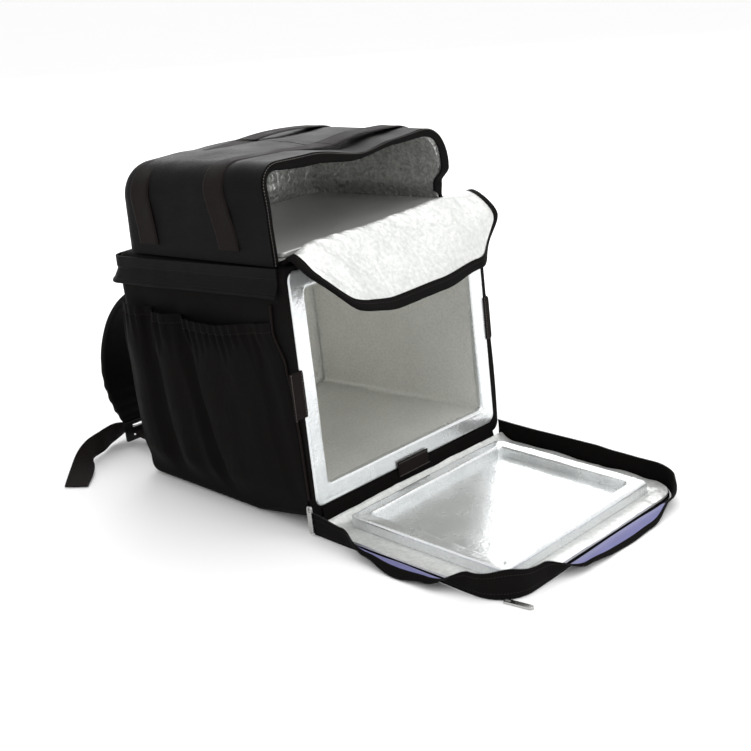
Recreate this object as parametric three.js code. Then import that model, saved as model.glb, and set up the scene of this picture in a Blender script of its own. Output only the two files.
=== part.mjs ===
// Insulated delivery backpack with its front door folded down onto the floor, so that the silver
// box inside is open, and with the front flap of its upper compartment folded out over it.
//
// Units are millimetres and +Z is up. The door opens towards -Y. The origin is on the floor, under
// the middle of the bag's depth. The bag leans back a little, because its door lies under its
// front edge. Pieces of the bag are modelled upright, with y counted from the front face, and one
// turned group leans them all. The door's pieces lie level.

import * as THREE from 'three';

// Silver box that carries the load: a foil-covered foam box with a thick wall
const BOX_WIDTH = 420;
const BOX_HEIGHT = 356;
const BOX_DEPTH = 380;
const BOX_WALL = 30;
const BOX_BACK_WALL = 10;
const BOX_CORNER = 15;
const MOUTH_CORNER = 8;

// Black shell around the silver box
const SHELL_WALL = 6;
const SHELL_BACK = 17;
const SHELL_CORNER = 16;
const SHELL_ROUND = 24;
const BASE_PAD = 10;
const FACE_STEP = 1;
const LEAN = THREE.MathUtils.degToRad(4);
const FRONT_LIFT = 22;
const LIFT_LENGTH = 130;
const PIPING_RADIUS = 2;
const COLLAR_DEPTH = 34;

// Soft upper compartment
const HOOD_WIDTH = 424;
const HOOD_HEIGHT = 139;
const HOOD_DEPTH = 368;
const HOOD_MOUTH = 16;
const HOOD_WALL = 5;
const HOOD_ROUND = 30;
const HOOD_TAPER = 6;
const SHOULDERS = { left: { rim: 36, back: 52 }, right: { rim: 64, back: 54 } };
const SHOULDER_INSET = 12;
const LINING_WALL = 2;
const LINING_BACK = 14;
const BINDING_WIDTH = 22;
const FLOOR_PAD = 8;
const FLOOR_PAD_GAP = 16;
const PAD_PLAY = 3;

// Front flap of the upper compartment, folded out
const FLAP_WIDTH = 392;
const FLAP_THICKNESS = 7;
const FLAP_LENGTH = 164;
const FLAP_CORNER = 62;
const FLAP_CREST = 29;
const FLAP_DROP = 106;
const FLAP_REACH = 92;
const FLAP_EDGE = 9;
const FLAP_HINGE = 5.9;
const FLAP_BELLY_HEIGHT = 0.4;

// Cloth skirt and gathered side pocket
const CLOTH = 2;
const SKIRT_HEIGHT = 50;
const SKIRT_FLARE = 12;
const SKIRT_FRONT = 12;
const SKIRT_DROP = 6;
const SKIRT_END_SLACK = 0.6;
const POCKET_HEIGHT = 298;
const POCKET_BULGE = 17;
const POCKET_PLEATS = 12;
const POCKET_PLEAT_DEPTH = 3;
const POCKET_FOLD_DEPTH = 10;
const POCKET_FORM = {
  backEase: 0.2, sewnPower: 0.7, footBelly: 0.4, bellyTop: 0.9, bellyPower: 0.8, gather: 0.7,
  opening: 0.18,
};

// Door with its lining, foam tray and zip band
const TRAY_CLEARANCE = 3;
const TRAY_LENGTH = BOX_HEIGHT - 2 * BOX_WALL - 2 * TRAY_CLEARANCE;
const TRAY_RIM = 24;
const TRAY_HEIGHT = 18;
const TRAY_FLOOR = 3;
const TRAY_SETBACK = 30;
const TRAY_MARGIN = 32;
const TRAY_CORNER = 8;
const DOOR_LENGTH = TRAY_SETBACK + TRAY_LENGTH + TRAY_MARGIN;
const DOOR_PANEL = 5;
const DOOR_CORNER = 50;
const DOOR_LINING = 1.6;
const BAND_HEIGHT = 36;
const BAND_FOOT = 1;
const HINGE_CLOTH = 1.5;
const HINGE_REACH = 9;
const HINGE_OVERLAP = 14;

// Webbing, tabs, pulls and carrying straps
const WEBBING_WIDTH = 45;
const WEBBING = 2;
const HANDLE_RISE = 21;
const HANDLE_MIDDLE = 0.57;
const HANDLE_SPREAD = 0.08;
const HANDLE_BENDS = { shoulder: 0.3, top: 0.5 };
const TAB_LENGTH = 70;
const TAB_WIDTH = 25;
const TAB_SEAT = 12;
const TAB_GRIP = 4;
const TAB_BEND = THREE.MathUtils.degToRad(60);
const PULL_LENGTH = 44;
const PULL_WIDTH = 9;
const PULL_THICKNESS = 3;
const PULL_SLOT = 4;
const PULL_OUT = 0.26;
const PULL_TURN = THREE.MathUtils.degToRad(10);
const STRAP_WIDTH = 66;
const STRAP_THICKNESS = 12;
const STRAP_SPACING = 280;
const STRAP_BOW = 142;
const ANCHOR_HEAD = 42;
const ANCHOR_SAG = 18;
const BUCKLE_THICKNESS = 6;
const BUCKLE_HEIGHT = 34;
const BUCKLE_SLOT = 5;
const LOWER_WEBBING_WIDTH = 38;
const WEBBING_OUT = 196;
const WEBBING_BEHIND = 65;

// Running gap between pieces that touch
const GAP = 0.4;

// Sizes that follow from those above
const SHELL_HALF = BOX_WIDTH / 2 + GAP + SHELL_WALL;
const SHELL_HEAD = BASE_PAD + BOX_HEIGHT + GAP + SHELL_WALL;
const DEPTH = BOX_DEPTH + GAP + SHELL_BACK;
const BOX_HEAD = BASE_PAD + BOX_HEIGHT;
const HOOD_FOOT = SHELL_HEAD + GAP;
const LINING_INSET = HOOD_WALL + 4 * GAP;
const DOOR_TOP = DOOR_PANEL + GAP + DOOR_LINING;
const STRAP_HEAD = SHELL_HEAD - SKIRT_DROP - SKIRT_HEIGHT - STRAP_THICKNESS;

// Where the side's piping runs: the height is a share of the shell's, the depth of the collar's
const PIPING_LINE = [
  { height: 0.0, depth: 0.08 },
  { height: 0.28, depth: 0.12 },
  { height: 0.5, depth: 0.22 },
  { height: 0.62, depth: 0.42 },
  { height: 0.76, depth: 0.95 },
  { height: 0.87, depth: 0.9 },
  { height: 1.0, depth: 0.2 },
];

// The hood's front rim from its left foot over the top to its right foot: its set-back as a share
// of the hood's depth, and how far it sinks below an even arch or leans in, as shares of its height
const HOOD_RIM = [
  { along: 0.0, setBack: 0.01, sink: 0.0, inward: -0.02 },
  { along: 0.14, setBack: 0.03, sink: 0.0, inward: 0.0 },
  { along: 0.3, setBack: 0.055, sink: -0.02, inward: 0.0 },
  { along: 0.4, setBack: 0.06, sink: -0.01, inward: 0.0 },
  { along: 0.52, setBack: 0.06, sink: 0.12, inward: 0.0 },
  { along: 0.6, setBack: 0.065, sink: 0.06, inward: 0.0 },
  { along: 0.68, setBack: 0.07, sink: 0.03, inward: 0.0 },
  { along: 0.8, setBack: 0.08, sink: 0.02, inward: 0.04 },
  { along: 0.88, setBack: 0.12, sink: 0.0, inward: 0.07 },
  { along: 0.95, setBack: 0.14, sink: 0.0, inward: 0.04 },
  { along: 1.0, setBack: 0.02, sink: 0.0, inward: 0.0 },
];

// Width of the binding around the hood's mouth, as a share of BINDING_WIDTH
const BINDING_LINE = [
  { along: 0.0, width: 0.35 },
  { along: 0.25, width: 0.4 },
  { along: 0.4, width: 0.8 },
  { along: 0.55, width: 0.35 },
  { along: 0.7, width: 0.6 },
  { along: 0.8, width: 0.95 },
  { along: 1.0, width: 1.0 },
];

// The flap from its left to its right edge: shares of its crest, of its reach halfway down and at
// its tip, and of its drop
const FLAP_LINE = [
  { across: 0.0, crest: 0.5, belly: 0.42, reach: 0.9, drop: 0.66 },
  { across: 0.12, crest: 0.85, belly: 0.45, reach: 1.0, drop: 0.92 },
  { across: 0.3, crest: 0.9, belly: 0.45, reach: 1.0, drop: 1.03 },
  { across: 0.55, crest: 0.95, belly: 0.44, reach: 0.98, drop: 1.02 },
  { across: 0.8, crest: 1.1, belly: 0.5, reach: 0.82, drop: 0.97 },
  { across: 1.0, crest: 1.05, belly: 0.55, reach: 0.4, drop: 0.85 },
];

// Folds of the pocket: place along it from its back edge at the hem and at the foot, half width,
// and push outwards (ridge) or inwards (valley), as shares of the fold depth
const POCKET_FOLDS = [
  { hem: 0.06, foot: 0.1, width: 0.05, push: 0.9 },
  { hem: 0.17, foot: 0.21, width: 0.035, push: -1.0 },
  { hem: 0.27, foot: 0.34, width: 0.05, push: 0.8 },
  { hem: 0.39, foot: 0.55, width: 0.03, push: -1.1 },
  { hem: 0.53, foot: 0.66, width: 0.08, push: 0.5 },
  { hem: 0.72, foot: 0.8, width: 0.05, push: 0.3 },
  { hem: 0.86, foot: 0.97, width: 0.03, push: -0.8 },
];

// The zip band around the door, from its left hinge end: how far its foot and its head stand out
// and how high the head stands, as shares of the band's height
const BAND_LINE = [
  { along: 0.0, foot: 0.03, head: 0.06, rise: 0.95 },
  { along: 0.12, foot: 0.1, head: 0.3, rise: 0.95 },
  { along: 0.24, foot: 0.3, head: 0.6, rise: 0.88 },
  { along: 0.3, foot: 0.25, head: 0.4, rise: 0.9 },
  { along: 0.345, foot: 0.06, head: -0.3, rise: 1.0 },
  { along: 0.4, foot: 0.06, head: -0.1, rise: 0.9 },
  { along: 0.46, foot: 0.08, head: 0.5, rise: 0.55 },
  { along: 0.54, foot: 0.1, head: 0.8, rise: 0.42 },
  { along: 0.61, foot: 0.08, head: 0.6, rise: 0.5 },
  { along: 0.66, foot: 0.05, head: 0.1, rise: 0.9 },
  { along: 0.76, foot: 0.03, head: 0.04, rise: 1.0 },
  { along: 1.0, foot: 0.03, head: 0.0, rise: 1.0 },
];

// Handle straps over the hood: depth of their middle at the left foot, the left shoulder and the
// top, as shares of the hood's depth
const HANDLES = [
  { name: 'handle_strap_front', foot: 0.3, shoulder: 0.38, top: 0.3 },
  { name: 'handle_strap_rear', foot: 0.81, shoulder: 0.85, top: 0.78 },
];

// Carrying strap from under the skirt down: shares of its head's height and of its bow
const STRAP_LINE = [
  { height: 1.0, bow: 0.0 },
  { height: 0.975, bow: 0.02 },
  { height: 0.93, bow: 0.26 },
  { height: 0.86, bow: 0.5 },
  { height: 0.74, bow: 0.75 },
  { height: 0.56, bow: 0.95 },
  { height: 0.39, bow: 1.0 },
  { height: 0.26, bow: 0.9 },
  { height: 0.17, bow: 0.74 },
];

// Lower webbing from the buckle to its loose end: shares of its reach outwards and behind, and of
// the buckle's height, and the direction of its width, which lies flat, stands up and lies again
const WEBBING_LINE = [
  { out: 0.0, behind: 0.0, up: 1.0, acrossX: 1, acrossY: 0, acrossZ: 0 },
  { out: 0.0, behind: 0.12, up: 1.0, acrossX: 1, acrossY: 0, acrossZ: 0.1 },
  { out: 0.05, behind: 0.28, up: 0.96, acrossX: 0.7, acrossY: -0.5, acrossZ: 0.5 },
  { out: 0.2, behind: 0.36, up: 0.86, acrossX: 0.1, acrossY: -0.3, acrossZ: 1 },
  { out: 0.38, behind: 0.16, up: 0.83, acrossX: 0, acrossY: 0, acrossZ: 1 },
  { out: 0.5, behind: 0.04, up: 0.83, acrossX: 0, acrossY: 0, acrossZ: 1 },
  { out: 0.57, behind: -0.08, up: 0.82, acrossX: 0.1, acrossY: 0.1, acrossZ: 1 },
  { out: 0.66, behind: -0.3, up: 0.7, acrossX: 0.35, acrossY: 0.4, acrossZ: 0.8 },
  { out: 0.81, behind: -0.7, up: 0.4, acrossX: 0.6, acrossY: 0.7, acrossZ: 0.35 },
  { out: 0.97, behind: -1.1, up: 0.08, acrossX: 0.65, acrossY: 0.75, acrossZ: 0 },
];

// Shares along the hood's arch, and along a path around three sides, where its five parts meet
const HOOD_KNOTS = [0, 0.22, 0.33, 0.67, 0.78, 1];
const PATH_KNOTS = [0, 0.3, 0.38, 0.62, 0.7, 1];

// Steps of the faceted surfaces
const ARC_STEPS = 4;
const HOOD_STEPS = 24;
const FLOOR_STEPS = 4;
const HOOD_DEPTH_STEPS = 5;
const PIPING_STEPS = 14;

// A column of a table, read at a share between its rows with a smooth step
function read(table, key, column, share) {
  const last = table.length - 1;
  let row = 0;
  while (row < last - 1 && share > table[row + 1][key]) {
    row += 1;
  }
  const low = table[row];
  const high = table[row + 1];
  const t = THREE.MathUtils.smoothstep(share, low[key], high[key]);
  return THREE.MathUtils.lerp(low[column], high[column], t);
}

// A bell-shaped bump of height 1 at distance 0, gone at twice its width
function bump(distance, width) {
  const t = Math.min(Math.abs(distance) / (2 * width), 1);
  return (1 - t * t) ** 2;
}

// An indexed closed mesh whose faces point out
function closedGeometry(points, faces) {
  let volume = 0;
  for (const [a, b, c] of faces) {
    volume += points[a].dot(new THREE.Vector3().crossVectors(points[b], points[c]));
  }
  const outward = volume > 0 ? faces : faces.map(([a, b, c]) => [a, c, b]);
  const geometry = new THREE.BufferGeometry().setFromPoints(points);
  geometry.setIndex(outward.flat());
  geometry.computeVertexNormals();
  return geometry;
}

// A closed body through rings of equal count, with its first and last ring capped from their middle
function loft(rings) {
  const count = rings[0].length;
  const points = rings.flat();
  const faces = [];
  for (let ring = 0; ring < rings.length - 1; ring += 1) {
    for (let i = 0; i < count; i += 1) {
      const a = ring * count + i;
      const b = ring * count + ((i + 1) % count);
      faces.push([a, b, b + count], [a, b + count, a + count]);
    }
  }
  const ends = [[0, false], [rings.length - 1, true]];
  for (const [ring, reversed] of ends) {
    const middle = new THREE.Vector3();
    for (const point of rings[ring]) {
      middle.addScaledVector(point, 1 / count);
    }
    const centre = points.push(middle) - 1;
    for (let i = 0; i < count; i += 1) {
      const a = ring * count + i;
      const b = ring * count + ((i + 1) % count);
      faces.push(reversed ? [centre, a, b] : [centre, b, a]);
    }
  }
  return closedGeometry(points, faces);
}

// The direction square to a surface, from its neighbours in both parameters
function normalAt(surface, u, v) {
  const step = 1e-3;
  const low = (t) => Math.max(t - step, 0);
  const high = (t) => Math.min(t + step, 1);
  const along = surface(high(u), v).sub(surface(low(u), v));
  const across = surface(u, high(v)).sub(surface(u, low(v)));
  return along.cross(across).normalize();
}

// The same direction kept within the YZ plane, so that neighbouring pieces keep their gap in X
function upNormalAt(surface, u, v) {
  return normalAt(surface, u, v).setX(0).normalize();
}

// A closed sheet of cloth: a surface of two shares, and the same surface moved along its normal
function sheet(surface, columns, rows, thickness, square = normalAt) {
  const points = [];
  for (const offset of [0, thickness]) {
    for (let row = 0; row <= rows; row += 1) {
      for (let column = 0; column <= columns; column += 1) {
        const u = column / columns;
        const v = row / rows;
        points.push(surface(u, v).addScaledVector(square(surface, u, v), offset));
      }
    }
  }
  const wide = columns + 1;
  const layer = wide * (rows + 1);
  const faces = [];
  for (let row = 0; row < rows; row += 1) {
    for (let column = 0; column < columns; column += 1) {
      const a = row * wide + column;
      const b = a + 1;
      const c = a + wide;
      const d = c + 1;
      faces.push([a, b, d], [a, d, c]);
      faces.push([a + layer, d + layer, b + layer], [a + layer, c + layer, d + layer]);
    }
  }
  const rim = [];
  for (let column = 0; column < columns; column += 1) {
    rim.push(column);
  }
  for (let row = 0; row < rows; row += 1) {
    rim.push(row * wide + columns);
  }
  for (let column = columns; column > 0; column -= 1) {
    rim.push(rows * wide + column);
  }
  for (let row = rows; row > 0; row -= 1) {
    rim.push(row * wide);
  }
  rim.forEach((a, i) => {
    const b = rim[(i + 1) % rim.length];
    faces.push([a, a + layer, b + layer], [a, b + layer, b]);
  });
  return closedGeometry(points, faces);
}

// A band with a rectangular or, with a bevel, an eight-sided section, carried along stations that
// each give a place, the direction of the width and the direction of the thickness
function ribbon(stations, width, thickness, bevel = 0) {
  const w = width / 2;
  const t = thickness / 2;
  const section = bevel === 0
    ? [[-w, -t], [w, -t], [w, t], [-w, t]]
    : [
      [-w, -t + bevel], [-w + bevel, -t], [w - bevel, -t], [w, -t + bevel],
      [w, t - bevel], [w - bevel, t], [-w + bevel, t], [-w, t - bevel],
    ];
  return loft(stations.map(({ at, side, up }) => section.map(
    ([x, y]) => at.clone().addScaledVector(side, x).addScaledVector(up, y),
  )));
}

// Outline of a rounded rectangle in width and height, from its left foot round over its head
function outline({ left, right, foot, head, corners }) {
  const points = [];
  const [footLeft, headLeft, headRight, footRight] = corners;
  const arc = (x, z, radius, start) => {
    for (let i = 0; i <= ARC_STEPS; i += 1) {
      const angle = start - (i / ARC_STEPS) * (Math.PI / 2);
      points.push({ x: x + radius * Math.cos(angle), z: z + radius * Math.sin(angle) });
    }
  };
  arc(left + headLeft, head - headLeft, headLeft, Math.PI);
  arc(right - headRight, head - headRight, headRight, Math.PI / 2);
  arc(right - footRight, foot + footRight, footRight, 0);
  arc(left + footLeft, foot + footLeft, footLeft, -Math.PI / 2);
  return points;
}

// How far a round back edge has drawn in at a depth
function drawIn(depth, back, round) {
  const past = Math.max(depth - (back - round), 0);
  return round - Math.sqrt(Math.max(round * round - past * past, 0));
}

// Depths from a mouth to a back, closer together where the back edge is round
function depths(mouth, back, round, steps) {
  const list = [];
  for (let i = 0; i <= steps; i += 1) {
    list.push(THREE.MathUtils.lerp(mouth, back - round, i / steps));
  }
  for (let i = 1; i <= ARC_STEPS && round > 0; i += 1) {
    list.push(back - round + round * Math.sin((i / ARC_STEPS) * (Math.PI / 2)));
  }
  return list;
}

// A cup open at its mouth: a ring function of depth and inset makes its outside, then its inside
function cup(ring, mouth, outer, inner, steps) {
  const side = ({ back, inset, round }) => depths(mouth, back, round, steps)
    .map((depth) => ring(depth, inset + drawIn(depth, back, round), inset > 0));
  return loft([...side(outer).reverse(), ...side(inner)]);
}

const materials = {
  nylon: { color: 0x151414, roughness: 0.75 },
  webbing: { color: 0x2a2423, roughness: 0.8 },
  foil: { color: 0xd4d6d2, roughness: 0.35, metalness: 0.8 },
  lining: { color: 0xa9aaa6, roughness: 0.4, metalness: 0.7 },
  flap: { color: 0xe8e8e4, roughness: 0.45, metalness: 0.4 },
  coated: { color: 0x8080ae, roughness: 0.5 },
  zinc: { color: 0xb5b5b2, roughness: 0.3, metalness: 1.0 },
  plastic: { color: 0x101010, roughness: 0.45 },
};

function piece(name, geometry, finish) {
  const mesh = new THREE.Mesh(geometry, new THREE.MeshStandardMaterial(materials[finish]));
  mesh.name = name;
  return mesh;
}

// Height of the floor under the leaning bag at a depth, in the bag's own upright frame
function floorAt(depth) {
  return (depth - DEPTH) * Math.tan(LEAN);
}

// The bag's own frame carried into the level one
function leaned(x, y, z) {
  return new THREE.Vector3(
    x,
    DEPTH / 2 + (y - DEPTH) * Math.cos(LEAN) + z * Math.sin(LEAN),
    z * Math.cos(LEAN) - (y - DEPTH) * Math.sin(LEAN),
  );
}

// Foot of the shell: flat on the floor, and drawn up towards the front
function shellFoot(depth) {
  return floorAt(depth) + FRONT_LIFT * Math.max(1 - depth / LIFT_LENGTH, 0);
}

// Ring of the shell at a depth; the inside keeps the silver box's even form
function shellRing(depth, inset, inside) {
  const foot = inside ? BASE_PAD - GAP : shellFoot(depth) + inset;
  const half = inside ? BOX_WIDTH / 2 + GAP : SHELL_HALF - inset;
  const head = inside ? BOX_HEAD + GAP : SHELL_HEAD - inset;
  const corner = inside ? BOX_CORNER : SHELL_CORNER;
  const corners = [corner, corner, corner, corner];
  return outline({ left: -half, right: half, foot, head, corners })
    .map(({ x, z }) => new THREE.Vector3(x, depth, z));
}

function outerShell() {
  const outer = { back: DEPTH, inset: 0, round: SHELL_ROUND };
  const inner = { back: BOX_DEPTH + GAP, inset: SHELL_WALL, round: 0 };
  return cup(shellRing, FACE_STEP, outer, inner, 3);
}

function linerBox() {
  const ring = (depth, inset) => {
    const half = BOX_WIDTH / 2 - inset;
    const corner = inset >= BOX_WALL ? MOUTH_CORNER : BOX_CORNER;
    const corners = [corner, corner, corner, corner];
    const foot = BASE_PAD + inset;
    const head = BOX_HEAD - inset;
    return outline({ left: -half, right: half, foot, head, corners })
      .map(({ x, z }) => new THREE.Vector3(x, depth, z));
  };
  const outer = { back: BOX_DEPTH, inset: 0, round: 0 };
  const inner = { back: BOX_DEPTH - BOX_BACK_WALL, inset: BOX_WALL, round: 0 };
  return cup(ring, 0, outer, inner, 1);
}

// Depth of the piping at a height: it swings back beside the upper half of the box's mouth
function pipingDepth(z) {
  const share = THREE.MathUtils.clamp((z - shellFoot(0)) / (SHELL_HEAD - shellFoot(0)), 0, 1);
  return FACE_STEP + PIPING_RADIUS + COLLAR_DEPTH * read(PIPING_LINE, 'height', 'depth', share);
}

// Piping cord up one side of the shell, near its front edge
function piping(side) {
  const low = BASE_PAD + SHELL_CORNER;
  const high = SHELL_HEAD - SKIRT_HEIGHT - 2 * PIPING_RADIUS;
  const points = [];
  for (let i = 0; i <= PIPING_STEPS; i += 1) {
    const z = THREE.MathUtils.lerp(low, high, i / PIPING_STEPS);
    points.push(new THREE.Vector3(side * (SHELL_HALF + GAP + PIPING_RADIUS), pipingDepth(z), z));
  }
  return tube(points, PIPING_RADIUS, 6);
}

// A closed tube with a round section through points
function tube(points, radius, sides) {
  const rings = points.map((point, i) => {
    const before = points[Math.max(i - 1, 0)];
    const after = points[Math.min(i + 1, points.length - 1)];
    const tangent = after.clone().sub(before).normalize();
    const side = new THREE.Vector3(0, 1, 0).cross(tangent).normalize();
    const up = tangent.clone().cross(side);
    return Array.from({ length: sides }, (_, k) => {
      const angle = (k / sides) * 2 * Math.PI;
      return point.clone()
        .addScaledVector(side, radius * Math.cos(angle))
        .addScaledVector(up, radius * Math.sin(angle));
    });
  });
  return loft(rings);
}

// The hood's arch at a share along it, a share of its depth and an inset: an upright left wall, a
// round shoulder, the top, a wider shoulder and the right wall, then its rim's sag and dents. Its
// foot is raised by a lift.
function hoodPoint(along, deep, inset, lift = 0) {
  const shoulders = {
    left: THREE.MathUtils.lerp(SHOULDERS.left.rim, SHOULDERS.left.back, deep),
    right: THREE.MathUtils.lerp(SHOULDERS.right.rim, SHOULDERS.right.back, deep),
  };
  const leftShoulder = shoulders.left - Math.min(inset, SHOULDER_INSET);
  const rightShoulder = shoulders.right - Math.min(inset, SHOULDER_INSET);
  const half = HOOD_WIDTH / 2 - inset;
  const head = HOOD_FOOT + HOOD_HEIGHT - inset;
  const knots = HOOD_KNOTS;
  const span = knots.findIndex((knot, i) => along <= knots[i + 1]);
  const t = (along - knots[span]) / (knots[span + 1] - knots[span]);
  const quarter = (t * Math.PI) / 2;
  const places = [
    () => [-half, THREE.MathUtils.lerp(HOOD_FOOT + lift, head - leftShoulder, t)],
    () => [
      -half + leftShoulder * (1 - Math.cos(quarter)),
      head - leftShoulder * (1 - Math.sin(quarter)),
    ],
    () => [THREE.MathUtils.lerp(-half + leftShoulder, half - rightShoulder, t), head],
    () => [
      half - rightShoulder * (1 - Math.sin(quarter)),
      head - rightShoulder * (1 - Math.cos(quarter)),
    ],
    () => [half, THREE.MathUtils.lerp(head - rightShoulder, HOOD_FOOT + lift, t)],
  ];
  const [x, z] = places[span]();
  const level = (shoulder) => (knots[1] * (z - HOOD_FOOT)) / (HOOD_HEIGHT - shoulder);
  const levels = { 0: level(shoulders.left), 4: 1 - level(shoulders.right) };
  const place = levels[span] ?? along;
  const height = (z - HOOD_FOOT) / HOOD_HEIGHT;
  const slack = (1 - deep) ** 2;
  const sink = read(HOOD_RIM, 'along', 'sink', place) * slack * HOOD_HEIGHT;
  const inward = read(HOOD_RIM, 'along', 'inward', place) * slack * HOOD_HEIGHT;
  const rimDepth = HOOD_MOUTH + HOOD_DEPTH * read(HOOD_RIM, 'along', 'setBack', place);
  return new THREE.Vector3(
    x - Math.sign(x) * (HOOD_TAPER * height + inward),
    THREE.MathUtils.lerp(rimDepth, HOOD_DEPTH, deep),
    z - sink - HOOD_TAPER * deep * height,
  );
}

// One ring of the hood: its arch from the left foot to the right foot, then its floor
function hoodRing(depth, inset) {
  const deep = (depth - HOOD_MOUTH) / (HOOD_DEPTH - HOOD_MOUTH);
  const ring = [];
  for (let i = 0; i <= HOOD_STEPS; i += 1) {
    ring.push(hoodPoint(i / HOOD_STEPS, deep, inset, inset));
  }
  const half = HOOD_WIDTH / 2 - inset;
  const foot = HOOD_FOOT + Math.max(inset, 0);
  for (let i = 1; i < FLOOR_STEPS; i += 1) {
    const x = THREE.MathUtils.lerp(half, -half, i / FLOOR_STEPS);
    ring.push(new THREE.Vector3(x, depth + HOOD_DEPTH * HOOD_RIM[0].setBack * (1 - deep), foot));
  }
  return ring;
}

function hoodShell() {
  const outer = { back: HOOD_DEPTH, inset: 0, round: HOOD_ROUND };
  const inner = { back: HOOD_DEPTH - HOOD_WALL, inset: HOOD_WALL, round: HOOD_ROUND - HOOD_WALL };
  return cup(hoodRing, HOOD_MOUTH, outer, inner, HOOD_DEPTH_STEPS);
}

function hoodLining() {
  const back = HOOD_DEPTH - LINING_INSET;
  const inset = LINING_INSET + LINING_WALL;
  const outer = { back, inset: LINING_INSET, round: HOOD_ROUND - HOOD_WALL };
  const inner = { back: back - LINING_BACK, inset, round: 0 };
  return cup(hoodRing, HOOD_MOUTH, outer, inner, HOOD_DEPTH_STEPS);
}

// Loose foil-covered board on the hood's floor, short of the right wall
function floorPad() {
  const inset = LINING_INSET + LINING_WALL;
  const half = HOOD_WIDTH / 2 - inset;
  const back = HOOD_DEPTH - LINING_INSET - LINING_BACK - PAD_PLAY;
  const front = HOOD_MOUTH + PAD_PLAY;
  const middle = (PAD_PLAY - FLOOR_PAD_GAP) / 2;
  const width = 2 * half - PAD_PLAY - FLOOR_PAD_GAP;
  const geometry = new THREE.BoxGeometry(width, back - front, FLOOR_PAD);
  geometry.translate(middle, (back + front) / 2, HOOD_FOOT + inset + GAP + FLOOR_PAD / 2);
  return geometry;
}

// Flat binding tape around the hood's mouth, turned in from its rim
function hoodBinding() {
  const surface = (u, v) => {
    const along = u * (1 - 1 / HOOD_STEPS);
    const width = BINDING_WIDTH * read(BINDING_LINE, 'along', 'width', along);
    const point = hoodPoint(along, 0, v * width, v * width);
    point.y -= 3 * GAP;
    return point;
  };
  return sheet(surface, HOOD_STEPS - 1, 1, -CLOTH);
}

// Webbing over the hood, from its left foot to its right foot, slack over the top as a handle
function handleStrap({ foot, shoulder, top }) {
  const surface = (u, v) => {
    const along = THREE.MathUtils.lerp(1 / HOOD_STEPS, 1 - 1 / HOOD_STEPS, u);
    const rise = THREE.MathUtils.smoothstep(along, 0, HANDLE_BENDS.shoulder);
    const over = THREE.MathUtils.smoothstep(along, HANDLE_BENDS.shoulder, HANDLE_BENDS.top);
    const middle = THREE.MathUtils.lerp(THREE.MathUtils.lerp(foot, shoulder, rise), top, over);
    const rim = HOOD_MOUTH + HOOD_DEPTH * read(HOOD_RIM, 'along', 'setBack', along);
    const depth = HOOD_DEPTH * middle + (v - 0.5) * WEBBING_WIDTH;
    const point = hoodPoint(along, (depth - rim) / (HOOD_DEPTH - rim), -GAP);
    point.z += HANDLE_RISE * bump(along - HANDLE_MIDDLE, HANDLE_SPREAD);
    return point;
  };
  return sheet(surface, HOOD_STEPS - 2, 1, WEBBING);
}

// The profile of the folded-out flap at a place across it: up from its hinge, over its crest and
// down in front of the box
function flapCurve(x) {
  const half = FLAP_WIDTH / 2 + FLAP_EDGE;
  const across = THREE.MathUtils.clamp(x / (2 * half) + 0.5, 0, 1);
  const crest = FLAP_CREST * read(FLAP_LINE, 'across', 'crest', across);
  const belly = FLAP_REACH * read(FLAP_LINE, 'across', 'belly', across);
  const reach = FLAP_REACH * read(FLAP_LINE, 'across', 'reach', across);
  const drop = FLAP_DROP * read(FLAP_LINE, 'across', 'drop', across);
  const ridge = HOOD_FOOT + crest;
  const tip = HOOD_FOOT + FLAP_CREST - drop;
  return new THREE.CatmullRomCurve3([
    new THREE.Vector3(x, HOOD_MOUTH - GAP, SHELL_HEAD + GAP + FLAP_HINGE),
    new THREE.Vector3(x, 0, ridge),
    new THREE.Vector3(x, -belly, THREE.MathUtils.lerp(ridge, tip, FLAP_BELLY_HEIGHT)),
    new THREE.Vector3(x, -reach, tip),
  ]);
}

function flapPoint(x, length) {
  return flapCurve(x).getPoint(length / (FLAP_LENGTH + GAP + FLAP_EDGE));
}

function frontFlap() {
  const half = FLAP_WIDTH / 2;
  const surface = (u, v) => {
    const x = THREE.MathUtils.lerp(-half, half, u);
    const past = Math.max(Math.abs(x) - (half - FLAP_CORNER), 0);
    const cut = FLAP_CORNER - Math.sqrt(Math.max(FLAP_CORNER ** 2 - past ** 2, 0));
    return flapPoint(x, v * (FLAP_LENGTH - cut));
  };
  return sheet(surface, 24, 8, FLAP_THICKNESS, upNormalAt);
}

// A path around three sides of a rounded rectangle: from its open end along the left side, round
// two corners and back along the right side, moved out by a distance
function aroundPath(share, half, length, corner, out = 0) {
  const span = PATH_KNOTS.findIndex((knot, i) => share <= PATH_KNOTS[i + 1]);
  const t = (share - PATH_KNOTS[span]) / (PATH_KNOTS[span + 1] - PATH_KNOTS[span]);
  const angle = (t * Math.PI) / 2;
  const radius = corner + out;
  const inX = half - corner;
  const inY = length - corner;
  const places = [
    () => [-half - out, t * inY],
    () => [-inX - radius * Math.cos(angle), inY + radius * Math.sin(angle)],
    () => [THREE.MathUtils.lerp(-inX, inX, t), length + out],
    () => [inX + radius * Math.sin(angle), inY + radius * Math.cos(angle)],
    () => [half + out, (1 - t) * inY],
  ];
  const [x, y] = places[span]();
  return { x, y };
}

function flapBinding() {
  const surface = (u, v) => {
    const out = THREE.MathUtils.lerp(2 * GAP, FLAP_EDGE, v);
    const { x, y } = aroundPath(u, FLAP_WIDTH / 2, FLAP_LENGTH, FLAP_CORNER, out);
    return flapPoint(x, y);
  };
  return sheet(surface, 100, 1, FLAP_THICKNESS, upNormalAt);
}

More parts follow.
